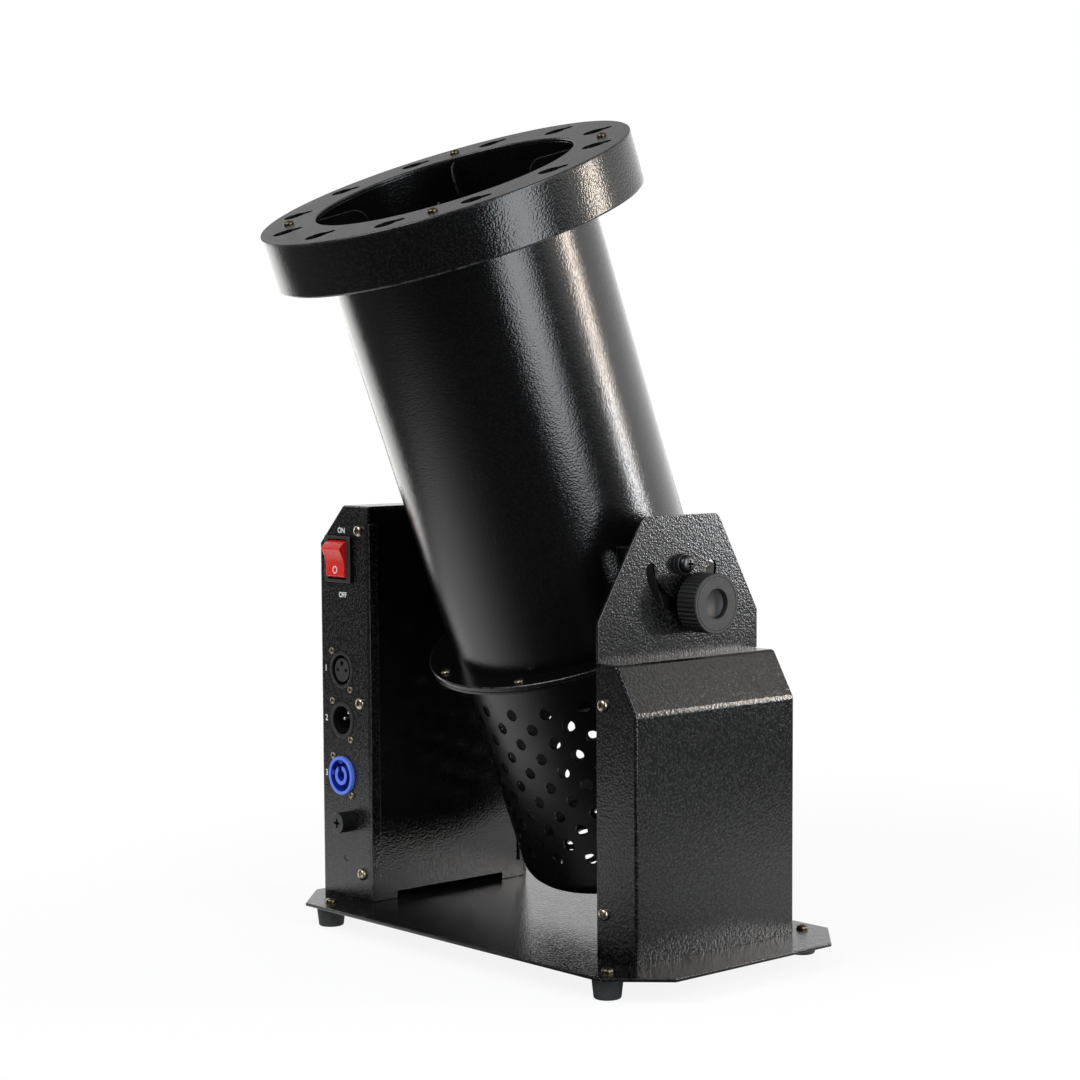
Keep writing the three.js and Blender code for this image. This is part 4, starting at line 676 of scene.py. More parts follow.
# White print on the panel, generic words and plain numbers: what it says, where, and its size
printed = {"bolder": 0.08, "raised": 0.04, "sunk": -0.02}
prints = {"printOn": ("ON", (-138.8, 239.9), 4.9), "printOff": ("OFF", (-138.0, 198.4), 4.7),
          "printOne": ("1", (-157.0, 149.7), 5.6), "printTwo": ("2", (-157.0, 117.2), 5.6),
          "printThree": ("3", (-157.6, 81.1), 5.6), "printFour": ("4", (-145.5, 52.0), 5.6)}


def buildPrints():
    for name, (words, (x, z), size) in prints.items():
        curve = bpy.data.curves.new(name, "FONT")
        curve.body, curve.size = words, size
        curve.align_x, curve.align_y = "CENTER", "CENTER"
        curve.offset, curve.extrude = printed["bolder"], printed["raised"]
        carrier = placed(name + "Carrier", curve)
        evaluated = carrier.evaluated_get(bpy.context.evaluated_depsgraph_get())
        bm = bmesh.new()
        bm.from_mesh(evaluated.to_mesh())
        evaluated.to_mesh_clear()
        bpy.data.objects.remove(carrier)
        bmesh.ops.remove_doubles(bm, verts=bm.verts, dist=weld)
        makePiece(name, bm, whitePrint, "stand", at=onFront(x, z, printed["sunk"]))


buildPrints()
print("switch and prints built")

# Round panel sockets, drawn with their noses along local z
# A painted shade is an inner and an outer radius, then a lower and an upper height, inside which the recess
# is painted darker
sockets = {"behindPanel": -1.6, "flange": (26.0, 31.0, 1.6), "corner": 3.0, "body": 11.0, "length": 15.0,
           "edge": 0.4, "screw": (9.5, 12.0), "contact": 4.3, "tail": (1.2, 0.6, 5.0),
           "tailShare": 1.5, "overlap": 0.5, "through": 5}
signalOut = {"nose": 12.0, "proud": 0.6, "recess": 9.8, "depth": 7.0, "core": (7.7, -6.6, -0.1),
             "coreEdge": 0.45, "holes": ((0, 1.35), (180, 1.35), (90, 1.7)), "holeDepth": 5.5,
             "shade": (7.6, 9.85, -6.6, 0.2)}
signalIn = {"nose": 12.0, "proud": 0.6, "recess": 9.3, "depth": 12.4, "step": (8.5, 9.4, -11.9, -2.6),
            "stepEdge": 0.2, "notch": (-2.2, 2.2, -12, -6, -20, 5), "pins": (0, 90, 180),
            "pin": [(0, -12.0), (1.2, -12.0), (1.2, -5.2), (0.95, -4.7), (0.5, -4.45), (0, -4.4)],
            "shade": (5.8, 9.4, -12.5, 0.4), "floorShade": (-1, 5.8, -12.0, -11.7)}
power = {"nose": 12.5, "proud": 2.4, "recess": 10.3, "depth": 9.0, "ring": (3.7, 6.3, -6.6, 1.9),
         "ringEdge": 0.45, "gap": (-1.9, 1.9, 0, 12, -20, 10), "gapTurn": 8, "core": (1.6, -6.6, -2.6),
         "coreEdge": 0.4, "keys": ((4, 2.6), (82, 1.8)), "key": (7.4, 8.6, 10.6), "keyFoot": -4.6,
         "keyLength": 6.0, "keyCorner": 0.4, "shade": (-1, 10.35, -6.8, -1.5)}


def within(inner, outer, low, high):
    return lambda c, n: inner < c.xy.length < outer and low < c.z < high


def socketBack(kind):
    back = sockets["behindPanel"] - sockets["flange"][2]
    end = back - sockets["length"]
    nose, proud, recess, floor = kind["nose"], kind["proud"], kind["recess"], kind["proud"] - kind["depth"]
    bm = spinShape([(0, end), (sockets["body"], end), (sockets["body"], back), (nose, back), (nose, proud),
                    (recess, proud), (recess, floor), (0, floor)], 72)
    soften(bm, sockets["edge"], 3, 40)
    w, h, t = sockets["flange"]
    plate = slab(rectangle(-w / 2, w / 2, -h / 2, h / 2), t, sockets["corner"])
    plate = carve(plate, rod(nose - sockets["overlap"], -sockets["through"], sockets["through"], 48))
    parts = [(bm, stand, 0), (plate, moved(0, 0, back), 0)]
    wide, thin, long = sockets["tail"]
    for k in (-1, 0, 1):
        x = k * sockets["contact"] * sockets["tailShare"]
        tail = block(x - wide, x + wide, -thin, thin, end - long, end + sockets["overlap"])
        parts.append((tail, stand, 1))
    return parts


def buildSockets():
    x, heights = controls["x"], controls["socketZ"]
    for kind, z in heights.items():
        sx, sz = sockets["screw"]
        for k, (dx, dz) in enumerate(((-sx, sz), (sx, -sz))):
            addScrew("%sSocketScrew%d" % (kind, k + 1), "socket", onFront(x + dx, z + dz), "stand",
                     finish=bronze, twist=25 + 50 * k)

    s, r = signalOut, sockets["contact"]
    radius, foot, top = s["core"]
    center = spinShape(rectangle(0, radius, foot, top))
    soften(center, s["coreEdge"], 3, 40)
    center = carve(center, *[laid(rod(hole, -s["holeDepth"], 2, 24), turned(angle, "Z") @ moved(r))
                             for angle, hole in s["holes"]])
    # The insert is painted paler, painted light, and the recess wall darker, painted shade
    bm = joined(*socketBack(s), (center, stand, 2))
    tint(bm, 3, within(*s["shade"]))
    makePiece("signalOutSocket", bm, (blackPlastic, silver, paintedLitPlastic, paintedShadeBlack), "stand",
              "signal_out_socket", at=onFront(x, heights["out"]), slot="black_plastic")

    s = signalIn
    parts = socketBack(s)
    step = soften(ringShape(*s["step"], 64), s["stepEdge"], 2, 40)
    parts.append((carve(step, block(*s["notch"])), stand, 0))
    parts += [(spinShape(s["pin"], 24), turned(angle, "Z") @ moved(r), 1) for angle in s["pins"]]
    # Painted shade darkens the wall and floor of the recess
    bm = tint(joined(*parts), 2, within(*s["shade"]))
    tint(bm, 2, within(*s["floorShade"]))
    makePiece("signalInSocket", bm, (blackPlastic, silver, paintedShadeBlack), "stand", "signal_in_socket",
              at=onFront(x, heights["in"]), slot="black_plastic")

    s = power
    ring = soften(ringShape(*s["ring"], 64), s["ringEdge"], 3, 40)
    ring = carve(ring, laid(block(*s["gap"]), turned(s["gapTurn"], "Z")))
    radius, foot, top = s["core"]
    core = soften(spinShape(rectangle(0, radius, foot, top), 32), s["coreEdge"], 3, 40)
    parts = socketBack(s) + [(ring, stand, 0), (core, stand, 2)]
    tip, shoulder, outer = s["key"]
    for angle, half in s["keys"]:
        key = slab([(-half, shoulder), (0, tip), (half, shoulder), (half, outer), (-half, outer)],
                   s["keyLength"], s["keyCorner"])
        parts.append((key, turned(angle, "Z") @ moved(0, 0, s["keyFoot"]), 2))
    # Painted shade darkens the core, the keys and the floor of the recess
    bm = tint(joined(*parts), 2, within(*s["shade"]))
    makePiece("powerInlet", bm, (bluePlastic, nickel, paintedShadeBlue), "stand", "power_inlet",
              at=onFront(x, heights["power"]), slot="blue_plastic")


buildSockets()

# Fuse in its holder, cap with a cross recess
fuse = {"bore": 4.2, "boreEnd": -29.5, "body": 5.9, "bodyEnd": -31, "nut": (7.6, -4.7, -1.7),
        "collar": 6.6, "collarHeight": 2.4, "chamfer": 0.4, "cap": 6.6, "capFoot": 2.5, "capLength": 8.2,
        "stem": 3.8, "stemBore": 2.7, "stemEnd": -7.5, "capEdge": 0.45, "cross": (3.0, 0.8, 2.2),
        "glass": (2.45, -18.5, -2.7), "ferrule": (2.6, 4.6), "ferruleFeet": (-20.6, -5.2),
        "ferruleEdge": 0.4, "boreTop": -0.5, "over": 2, "faceDepth": 0.5, "faceUp": 0.5}


def buildFuse():
    at = onFront(*controls["fuse"])
    bore, body, collar, high = fuse["bore"], fuse["body"], fuse["collar"], fuse["collarHeight"]
    nut, nutBack, nutFront = fuse["nut"]
    holder = spinShape([(bore, high), (bore, fuse["boreEnd"]), (0, fuse["boreEnd"]), (0, fuse["bodyEnd"]),
                        (body, fuse["bodyEnd"]), (body, nutBack), (nut, nutBack), (nut, nutFront),
                        (body, nutFront), (body, 0.0), (collar, 0.0), (collar, high - fuse["chamfer"]),
                        (collar - fuse["chamfer"], high)], 48, loop=True)
    # The holder is painted shade black all over
    makePiece("fuseHolder", holder, paintedShadeBlack, "stand", "fuse_holder", at=at, slot="black_plastic")
    r, foot, top = fuse["cap"], fuse["capFoot"], fuse["capFoot"] + fuse["capLength"]
    bore, stem, end, deep = fuse["stemBore"], fuse["stem"], fuse["stemEnd"], fuse["boreTop"]
    cap = spinShape([(0, deep), (bore, deep), (bore, end), (stem, end), (stem, foot), (r, foot), (r, top),
                     (0, top)], 72)
    soften(cap, fuse["capEdge"], 3, 50)
    long, thin, deep = fuse["cross"]
    for angle in (0, 90):
        cap = carve(cap, laid(block(-long, long, -thin, thin, top - deep, top + fuse["over"]),
                              turned(angle, "Z")))
    # The cap's face is painted paler, painted light, and the rest darker, painted shade
    tint(cap, 1, lambda c, n: c.z > top - fuse["faceDepth"] and n.z > fuse["faceUp"])
    makePiece("fuseCap", cap, (paintedShadeBlack, paintedLitPlastic), "fuse_cap_body", "fuse_cap", at=at,
              slot="black_plastic")
    radius, low, high = fuse["glass"]
    wide, tall = fuse["ferrule"]
    ends = [soften(spinShape(rectangle(0, wide, start, start + tall), 32), fuse["ferruleEdge"], 2, 50)
            for start in fuse["ferruleFeet"]]
    bm = joined((spinShape(rectangle(0, radius, low, high), 32), stand, 0),
                *[(end, stand, 1) for end in ends])
    makePiece("fuse", bm, (fuseGlass, nickel), "fuse_carrier", "fuse", at=at, slot="fuse_glass")


buildFuse()
print("sockets and fuse built")

# Arm on the right and its folded cover
arm = {"right": 136.6, "ledgeEdge": 120.5, "ledgeZ": 173.3, "slopeZ": 146.0, "screwX": 109.6,
       "screwZ": (28.8, 149.7), "edge": 0.35, "thickness": 2.0, "inset": 1.6, "shoulderZ": 196.9,
       "topHalf": 30.5, "corner": 3.0, "slotReach": 24.8, "slotWidth": 8.6, "slotTravel": 83.0,
       "pivotHole": 6.5, "tongue": 19.5, "notchHeight": 4.4, "flange": 14, "flangeRise": 6, "gap": 0.1,
       "over": 3, "through": (5, 9), "slotCut": 12}


def arcBand(reach, width, degrees, depth):
    bm = bmesh.new()
    inner, outer = bm.verts.new((reach - width / 2, 0, 0)), bm.verts.new((reach + width / 2, 0, 0))
    edge = bm.edges.new((inner, outer))
    bmesh.ops.rotate(bm, verts=bm.verts, matrix=Matrix.Rotation(math.radians(-90 - degrees), 3, "Z"))
    bmesh.ops.spin(bm, geom=[inner, outer, edge], cent=(0, 0, 0), axis=(0, 0, 1), dvec=(0, 0, 0),
                   angle=math.radians(2 * degrees), steps=48, use_merge=False, use_duplicate=False)
    ends = [laid(rod(width / 2, 0.1, depth - 0.1), turned(-90 + side * degrees, "Z") @ moved(reach))
            for side in (-1, 1)]
    return [thicken(bm, depth), *ends]


def buildArm():
    wall, foot, top, gap = place["rightWall"], place["seat"], place["top"], arm["gap"]
    py, pz = place["pivot"][1:]
    front, back, t = place["front"] + arm["inset"], place["back"] - arm["inset"], arm["thickness"]
    ledge, shoulder, tongue = arm["ledgeZ"] + gap, arm["shoulderZ"], arm["tongue"]
    over, inside, outside = arm["over"], *arm["through"]
    plate = slab([(front, foot), (back, foot), (back, ledge), (place["back"], ledge),
                  (place["back"], shoulder), (py + arm["topHalf"], top), (py - arm["topHalf"], top),
                  (place["front"], shoulder), (place["front"], ledge), (front, ledge)], t, arm["corner"],
                 [5, 6], 4)
    laid(soften(plate, arm["edge"], 2, 35), moved(wall) @ layAlongX)
    cutters = [laid(band, moved(wall - inside, py, pz) @ layAlongX)
               for band in arcBand(arm["slotReach"], arm["slotWidth"], arm["slotTravel"], arm["slotCut"])]
    cutters.append(laid(rod(arm["pivotHole"], -inside, outside, 48), moved(wall, py, pz) @ layAlongX))
    cutters.append(block(wall - over, wall + inside, front + tongue, back - tongue, foot - over,
                         foot + arm["notchHeight"]))
    for cutter in cutters:
        plate = carve(plate, cutter)
    parts = [(plate, stand, 0)]
    high = arm["slopeZ"] + arm["flangeRise"]
    for y0, y1, end in ((front, front + t, high), (back - t, back, high),
                        (front, front + tongue, foot + t), (back - tongue, back, foot + t)):
        parts.append((block(wall + t - gap, wall + arm["flange"], y0, y1, foot, end), stand, 0))
    makePiece("armUpright", joined(*parts), armCoat, "stand", "arm_upright", slot="powder_coat")

    bm = foldedSheet([(wall, foot), (arm["right"], foot), (arm["right"], arm["slopeZ"]),
                      (arm["ledgeEdge"], arm["ledgeZ"]), (wall, arm["ledgeZ"])], -1)
    room = block(wall - over, wall + t + gap, place["front"] + sheet["thickness"],
                 place["back"] - sheet["thickness"], foot - over, arm["ledgeZ"] + over)
    makePiece("armCover", carve(bm, room), sheetCoat, "stand", "arm_cover", slot="powder_coat")
    for k, z in enumerate(arm["screwZ"], 1):
        addCoverScrew("arm", "Front", k, arm["screwX"], z, twist=50 * k - 35)
        addCoverScrew("arm", "Back", k, arm["screwX"], z, twist=20 * k + 20)


buildArm()
print("arm built")

# Pivots, brackets and the lock knob; x is measured from the barrel's axis
pivots = {"wall": 107.3, "sheet": 2.0, "bore": 4.3, "bush": 6.4, "bushLength": 2, "flange": 9.5,
          "flangeThickness": 1.2, "bushEdge": 0.25, "collar": 6.0, "gap": 0.3, "collarEnd": 3.1,
          "collarEdge": 0.5, "headStart": 3.3, "bracketEdge": 0.5, "stud": -24.8}
knob = {"radius": 17.8, "ribs": 40, "ribDepth": 1.0, "start": 110.9, "hub": 11.0, "rim": 113.1,
        "end": 129.5, "dish": 8.8, "dishDepth": 4.0, "washer": (4.2, 11.0, 1.3), "washerEdge": 0.2,
        "stud": (3.9, 3.2), "studStart": 94, "studLap": 0.2,
        "foot": [(-1.2, 0), (0, 0.8)],  # from the rim's radius and start
        "lip": [(0, -2.2), (-0.5, -1.5), (0.1, -1.1), (0.1, -0.5), (-0.5, 0), (-1.6, 0), (-1.75, -0.25),
                (-1.95, -0.25), (-2.1, 0)],  # from its radius and the knob's end
        "brim": [(0.3, 0), (0, -0.3)], "bowl": [(-0.5, 0.8), (-2.2, -0.2)], "bowlMiddle": -0.9,
        "near": 0.02, "ribEnd": 2}


def buildPivots():
    wall, t, bore, bush = pivots["wall"], pivots["flangeThickness"], pivots["bore"], pivots["bush"]
    for name, side in (("Left", -1), ("Right", 1)):
        shape = spinShape([(bore, wall - t), (pivots["flange"], wall - t), (pivots["flange"], wall),
                           (bush, wall), (bush, wall + pivots["bushLength"]),
                           (bore, wall + pivots["bushLength"])], 48, loop=True)
        makePiece("pivotBush" + name, soften(shape, pivots["bushEdge"], 2, 50), blackPlastic, "stand",
                  "pivot_bush_" + name.lower(), at=moved(*place["pivot"]) @ turned(90 * side, "Y"),
                  slot="black_plastic")
    outer, gap = wall + pivots["sheet"], pivots["gap"]
    collar = ringShape(bore, pivots["collar"], outer + gap, outer + pivots["collarEnd"])
    makePiece("pivotCollar", soften(collar, pivots["collarEdge"], 3, 50), blackPlastic, "barrel",
              "pivot_collar", at=barrel @ turned(90, "Y"), slot="black_steel")
    addScrew("pivotScrewRight", "pivot", barrel @ moved(outer + pivots["headStart"]) @ turned(90, "Y"),
             "barrel", "pivot_screw_right", finish=darkSteel, slot="black_steel", twist=65)
    addScrew("pivotScrewLeft", "pivot", barrel @ moved(-outer - gap) @ turned(-90, "Y"), "barrel",
             "pivot_screw_left", finish=steel, slot="bare_steel", twist=30)
    for name in ("left", "right"):
        bracket = copyOfSolid("pivot_bracket_" + name, pivots["bracketEdge"])
        # The brackets are painted shade black, as they sit behind the plate in shade
        makePiece("pivotBracket" + name.capitalize(), bracket, paintedShadeCoat, "barrel", "pivot_bracket_" + name,
                  slot="powder_coat")


def buildKnob():
    at = barrel @ moved(0, 0, pivots["stud"]) @ turned(90, "Y")
    outer = pivots["wall"] + pivots["sheet"]
    bore, wide, top = knob["washer"]
    washer = ringShape(bore, wide, outer + pivots["gap"], outer + top)
    # The washer is painted shade black, for the shade under the knob
    makePiece("lockWasher", soften(washer, knob["washerEdge"], 2, 50), paintedShadeBlack, "barrel", "lock_washer",
              at=at, slot="black_steel")

    r, rim, end, dish = knob["radius"], knob["rim"], knob["end"], knob["dish"]
    start, hub, floor = knob["start"], knob["hub"], end - knob["dishDepth"]
    steps = knob["ribs"] * 4
    outline = [(0, start), (hub, start), (hub, rim)]
    for part, x, z in (("foot", r, rim), ("lip", r, end), ("brim", dish, end), ("bowl", dish, floor)):
        outline += [(x + dx, z + dz) for dx, dz in knob[part]]
    body = spinShape(outline + [(0, floor + knob["bowlMiddle"])], steps)
    side = [v for v in body.verts
            if abs(math.hypot(v.co.x, v.co.y) - r) < knob["near"] and v.co.z < end - knob["ribEnd"]]
    share = 1 - knob["ribDepth"] / r
    for v in side:  # two of each four steps round the rim sink between the ribs
        if round(math.atan2(v.co.y, v.co.x) / math.tau * steps) % 4 in (1, 2):
            v.co.x, v.co.y = v.co.x * share, v.co.y * share
    wide, narrow = knob["stud"]
    low, high = knob["studStart"], start + knob["studLap"]
    stud = spinShape([(0, low), (narrow, low), (wide, low + wide - narrow), (wide, high), (0, high)], 32)
    makePiece("lockKnob", joined((body, stand, 0), (stud, stand, 1)), (knobPlastic, steel), "knob",
              "lock_knob", at=at, slot="knob_plastic", smooth=28)


buildPivots()
buildKnob()
print("pivots and knob built")

# Barrel, in its own frame with h = 0 at the pivot
tube = {"radius": 81.5, "wall": 2.0, "foot": -46.8, "top": 239.6, "edge": 0.4, "gap": 0.05, "flange": 97.1,
        "flangeTop": -43.6, "flangeEdge": 0.9, "flangeScrews": 8, "firstScrew": 22.5, "screwCircle": 90.5}
mouth = {"radius": 113.5, "foot": 209.7, "wall": 2.0, "fold": 1.4, "plateUnder": 239.8, "top": 241.8,
         "edge": 0.9, "hole": 79.1, "screwCircle": 96.2, "holeCircle": 96.9, "holes": 12, "holeTurn": 52.0,
         "holeLength": 18.0, "holeHead": 6.7, "holeNeck": 3.4, "overs": (3, 2.5, 2.8)}
vane = {"count": 4, "first": 45, "inner": 50.0, "outer": 79.2, "top": 239.5, "depth": 30.0, "corner": 8.0,
        "thickness": 1.2, "edge": 0.3, "ear": (82, 104, 6), "earCorner": 2.0, "earThickness": 1.8,
        "earSunk": -1.9, "web": (81.9, 104, 0.9), "webSpan": (-12, -0.2)}


def buildTube():
    r, low, high = tube["radius"], tube["foot"], tube["top"]
    bm = soften(ringShape(r - tube["wall"], r, low, high, 144), tube["edge"], 2, 40)
    makePiece("barrelTube", bm, tubeCoat, "barrel", "barrel_tube", at=barrel, slot="powder_coat")
    bm = ringShape(r + tube["gap"], tube["flange"], low, tube["flangeTop"], 144)
    soften(bm, tube["flangeEdge"], 4, 40, lambda e: math.hypot(*e.verts[0].co.xy) > tube["screwCircle"])
    makePiece("barrelFlange", bm, tubeCoat, "barrel", "barrel_flange", at=barrel, slot="powder_coat")
    for k in range(tube["flangeScrews"]):
        angle = tube["firstScrew"] + 360.0 * k / tube["flangeScrews"]
        spot = barrel @ turned(angle, "Z") @ moved(tube["screwCircle"], 0, tube["flangeTop"])
        addScrew("flangeScrew%d" % (k + 1), "flange", spot, "barrel", finish=bronze, twist=30 * k)


def keyhole(aim, low, high):  # three cutters that overlap: head, slot and the slot's round end
    head, neck, half = mouth["holeHead"], mouth["holeNeck"], mouth["holeLength"] / 2
    first, second, third = mouth["overs"]
    return [laid(rod(head, low - first, high + first), aim @ moved(head - half)),
            laid(block(head - half, half - neck, -neck, neck, low - second, high + second), aim),
            laid(rod(neck, low - third, high + third, 24), aim @ moved(half - neck))]


def buildMouth():
    r, w, foot, under, top = (mouth[k] for k in ("radius", "wall", "foot", "plateUnder", "top"))
    inner = tube["radius"] + tube["gap"]
    drum = spinShape([(inner, foot), (r, foot), (r, under), (r - w, under), (r - w, foot + w),
                      (inner, foot + w)], 160, loop=True)
    soften(drum, mouth["fold"], 4, 40,
           lambda e: math.hypot(*e.verts[0].co.xy) > r - w / 2 and e.verts[0].co.z < foot + w / 2)
    makePiece("mouthRing", drum, ringCoat, "barrel", "mouth_ring", at=barrel, slot="powder_coat")

    plate = ringShape(mouth["hole"], r, under, top, 160)
    soften(plate, mouth["edge"], 4, 40, lambda e: min(v.co.z for v in e.verts) > top - 0.01)
    cutters = []
    for k in range(mouth["holes"]):
        spot = turned(360.0 * k / mouth["holes"], "Z") @ moved(mouth["holeCircle"])
        cutters += keyhole(moved(*spot.translation) @ turned(mouth["holeTurn"], "Z"), under, top)
    for kind in range(3):
        plate = carve(plate, *cutters[kind::3])
    makePiece("mouthPlate", plate, plateCoat, "barrel", "mouth_plate", at=barrel, slot="powder_coat")

    high, t = vane["top"], vane["thickness"]
    earIn, earOut, earHalf = vane["ear"]
    webIn, webOut, webHalf = vane["web"]
    for k in range(vane["count"]):
        spot = barrel @ turned(vane["first"] + 360 / vane["count"] * k, "Z")
        fin = slab(rectangle(vane["inner"], vane["outer"], high - vane["depth"], high), t, vane["corner"],
                   [3], 8)
        laid(soften(fin, vane["edge"], 2, 40), moved(0, t / 2, 0) @ layAlongY)
        ear = slab(rectangle(earIn, earOut, -earHalf, earHalf), vane["earThickness"], vane["earCorner"])
        web = block(webIn, webOut, -webHalf, webHalf, *(high + z for z in vane["webSpan"]))
        bm = joined((fin, stand, 0), (laid(ear, moved(0, 0, high + vane["earSunk"])), stand, 0),
                    (web, stand, 0))
        # The vanes are painted shade black, as they sit in shade down in the mouth
        makePiece("mouthVane%d" % (k + 1), bm, paintedShadeCoat, "barrel", "mouth_vane_%d" % (k + 1), at=spot,
                  slot="powder_coat")
        addScrew("mouthScrew%d" % (k + 1), "mouth", spot @ moved(mouth["screwCircle"], 0, top), "barrel",
                 "mouth_screw_%d" % (k + 1), finish=darkBrass, twist=25 * k)


buildTube()
buildMouth()
print("barrel and mouth built")

# Perforated cage: one flat tile with its hole, repeated over the unrolled wall and bent round
cage = {"radius": 79.0, "wall": 1.5, "columns": 40, "turn": -96.8, "pitch": 20.0, "hole": 4.0,
        "firstRow": -71.6, "rows": 6, "top": -47.15, "foot": -201.1, "corner": 12.0, "cornerSteps": 6,
        "neck": [(0, -1.2), (0.35, -0.35), (1.2, 0)], "flange": 96.4, "through": 4, "floorSteps": (0, 20, 45),
        "floorRings": 5, "floorPitch": 13.0, "floorHole": 4.6, "floorTwist": 11, "weld": 0.02, "tiny": 1e-6}


def holedTile(width, height, radius):
    bm, tiny = bmesh.new(), cage["tiny"]
    bmesh.ops.create_circle(bm, cap_ends=False, segments=16, radius=radius)
    outer = bmesh.ops.create_circle(bm, cap_ends=False, segments=16, radius=1.0)["verts"]
    for v in outer:  # pushed out from the circle to the tile's edge, a quarter of it apart
        x, y = abs(v.co.x), abs(v.co.y)
        short = 0.5 * math.atan2(min(x, y), max(x, y)) / (math.pi / 4)
        v.co.x = math.copysign(0.5 if x >= y else short, v.co.x) * width if x > tiny else 0
        half = 0.5 if y > x or abs(x - y) < tiny else short
        v.co.y = math.copysign(half, v.co.y) * height if y > tiny else 0
    bmesh.ops.bridge_loops(bm, edges=bm.edges[:])
    return bm


def unrolledWall(width):
    pitch, first, rows = cage["pitch"], cage["firstRow"], cage["rows"]
    plain = bmesh.new()
    bmesh.ops.create_grid(plain, x_segments=4, y_segments=2, size=0.5)
    bmesh.ops.scale(plain, verts=plain.verts, vec=(width, pitch / 2, 1))
    tileMesh, plainMesh = asMesh("tile", holedTile(width, pitch, cage["hole"])), asMesh("plainTile", plain)
    wall = bmesh.new()

    def put(mesh, x, y):
        start = len(wall.verts)
        wall.from_mesh(mesh)
        wall.verts.ensure_lookup_table()
        bmesh.ops.translate(wall, verts=wall.verts[start:], vec=(x, y, 0))

    for column in range(cage["columns"]):
        x, long = (column + 0.5) * width, column % 2 == 1
        for row in range(rows if long else rows - 1):
            put(tileMesh, x, first - (0 if long else pitch / 2) - row * pitch)
        if not long:
            put(plainMesh, x, first + pitch / 4)
            put(plainMesh, x, first - (rows - 1) * pitch - pitch / 4)
    return wall


def buildCage():
    r, pitch, foot, corner = cage["radius"], cage["pitch"], cage["foot"], cage["corner"]
    wall = unrolledWall(math.tau * r / cage["columns"])
    for v in wall.verts:
        angle = v.co.x / r
        v.co = (r * math.cos(angle), r * math.sin(angle), v.co.y)
    high = cage["firstRow"] + pitch / 2
    low = cage["firstRow"] - (cage["rows"] - 0.5) * pitch
    steps, under = cage["columns"] * 4, cage["top"] - cage["wall"]
    turns = [math.pi / 2 * k / cage["cornerSteps"] for k in range(cage["cornerSteps"] + 1)]
    bend = [(r - corner * (1 - math.cos(a)), foot + corner * (1 - math.sin(a))) for a in turns]
    floor = spinShape([(x, foot) for x in cage["floorSteps"]] + bend[::-1] + [(r, low)], steps)
    neck = [(r, high)] + [(r + dx, under + dz) for dx, dz in cage["neck"]] + [(cage["flange"], under)]
    bm = joined((wall, stand, 0), (floor, stand, 0), (spinShape(neck, steps), stand, 0))
    bmesh.ops.remove_doubles(bm, verts=bm.verts, dist=cage["weld"])
    bmesh.ops.recalc_face_normals(bm, faces=bm.faces)
    bottom = min(bm.faces, key=lambda f: f.calc_center_median().z)
    bottom.normal_update()
    if bottom.normal.z > 0:
        bmesh.ops.reverse_faces(bm, faces=bm.faces)
    bmesh.ops.solidify(bm, geom=bm.faces[:], thickness=cage["wall"])
    cutters = []
    for ring in range(cage["floorRings"] + 1):
        for k in range(max(1, 6 * ring)):
            spot = turned(60.0 * k / max(1, ring) + cage["floorTwist"] * ring, "Z")
            cutter = rod(cage["floorHole"], foot - cage["through"], foot + cage["through"], 16)
            cutters.append(laid(cutter, spot @ moved(ring * cage["floorPitch"])))
    makePiece("intakeCage", carve(bm, *cutters), cageCoat, "barrel", "intake_cage",
              at=barrel @ turned(cage["turn"], "Z"), smooth=35, slot="powder_coat")


buildCage()
print("cage built")

# Motor, mount and impeller
motor = {"radius": 42.0, "top": -47.4, "foot": -95.4, "edge": 0.5, "mountEdge": 0.4, "seat": (11.3, 6),
         "underside": [(14, 0), (15, 1.5)], "belly": [(-7, 1.5), (-1, 7), (0, 8)],  # from the foot
         "side": [(0, -22), (-1.2, -21), (-1.2, -16), (0, -15), (0, -2), (-1.5, 0)]}  # from the top
fan = {"hub": 28.0, "bore": 4.1, "hubEdge": 0.4, "crown": [(0, -6), (-2, -2), (-7, 0)],
       "low": -42.9, "high": -14.9, "blades": 7, "tip": 76.8, "thickness": 2.2, "root": 2,
       "rootPitch": 58, "twist": 24, "chord": 0.98, "chordTaper": (1.05, 0.1), "camber": 2.6, "sweep": 1.35,
       "flatness": 0.92, "margin": 3}


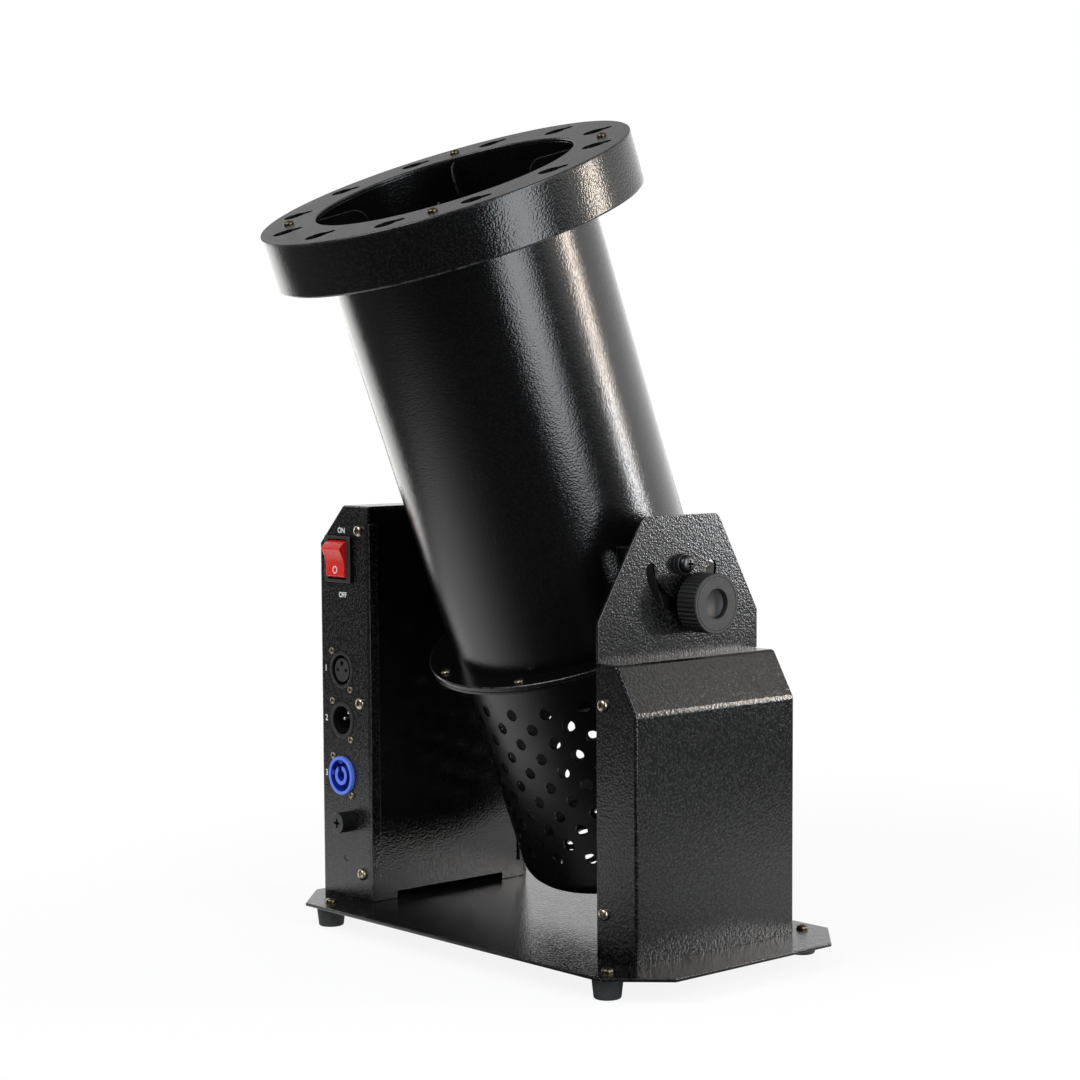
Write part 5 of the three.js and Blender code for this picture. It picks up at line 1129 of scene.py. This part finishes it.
def bladeShape():
    hub, low, high = fan["hub"], fan["low"], fan["high"]
    wide, taper = fan["chordTaper"]
    bm = bmesh.new()
    bmesh.ops.create_grid(bm, x_segments=10, y_segments=8, size=0.5)
    for v in bm.verts:  # from root to tip the blade flattens, and it is cambered
        out, along = v.co.x + 0.5, v.co.y
        reach = hub - fan["root"] + (fan["tip"] - hub + fan["root"]) * out
        pitch = math.radians(fan["rootPitch"] - fan["twist"] * out)
        chord = (high - low - fan["margin"]) * fan["chord"] * (wide - taper * out)
        camber = fan["camber"] * (1 - 4 * along * along)
        rise = along * chord * math.sin(pitch) + camber * math.cos(pitch)
        angle = (along * chord * math.cos(pitch) * fan["sweep"] - camber * math.sin(pitch)) / reach
        v.co = (reach * math.cos(angle), reach * math.sin(angle), (low + high) / 2 + rise * fan["flatness"])
    bmesh.ops.recalc_face_normals(bm, faces=bm.faces)
    bmesh.ops.solidify(bm, geom=bm.faces[:], thickness=fan["thickness"])
    return bm


def buildFan():
    r, top, foot = motor["radius"], motor["top"], motor["foot"]
    seat, seatDepth = motor["seat"]
    outline = [(0, foot)]
    for part, x, z in (("underside", 0, foot), ("belly", r, foot), ("side", r, top)):
        outline += [(x + dx, z + dz) for dx, dz in motor[part]]
    outline += [(seat, top), (seat, top - seatDepth), (0, top - seatDepth)]
    housing = soften(spinShape(outline, 72), motor["edge"], 2, 40)
    makePiece("motorHousing", housing, motorPaint, "barrel", "motor_housing", at=barrel, slot="motor_paint")
    makePiece("motorMount", copyOfSolid("motor_mount", motor["mountEdge"]), steel, "barrel", "motor_mount",
              slot="bare_steel")

    low, high, hub, bore = fan["low"], fan["high"], fan["hub"], fan["bore"]
    crown = [(hub + dx, high + dz) for dx, dz in fan["crown"]]
    bm = spinShape([(bore, low), (hub, low), *crown, (bore, high)], 64, loop=True)
    parts = [(soften(bm, fan["hubEdge"], 2, 40), stand, 0)]
    parts += [(bladeShape(), turned(360.0 * k / fan["blades"], "Z"), 0) for k in range(fan["blades"])]
    makePiece("impeller", joined(*parts), blackPlastic, "rotor", "impeller", at=barrel, slot="black_plastic")


buildFan()

# Solids that stay as they are get their finish
for node, finish in {"motor_shaft": steel, "motor_bearing_upper": steel, "motor_bearing_lower": steel,
                     "control_board": boardGreen, "motor_driver": aluminium}.items():
    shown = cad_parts[node]
    shown.data.materials.clear()
    shown.data.materials.append(finish)
print("fan built")
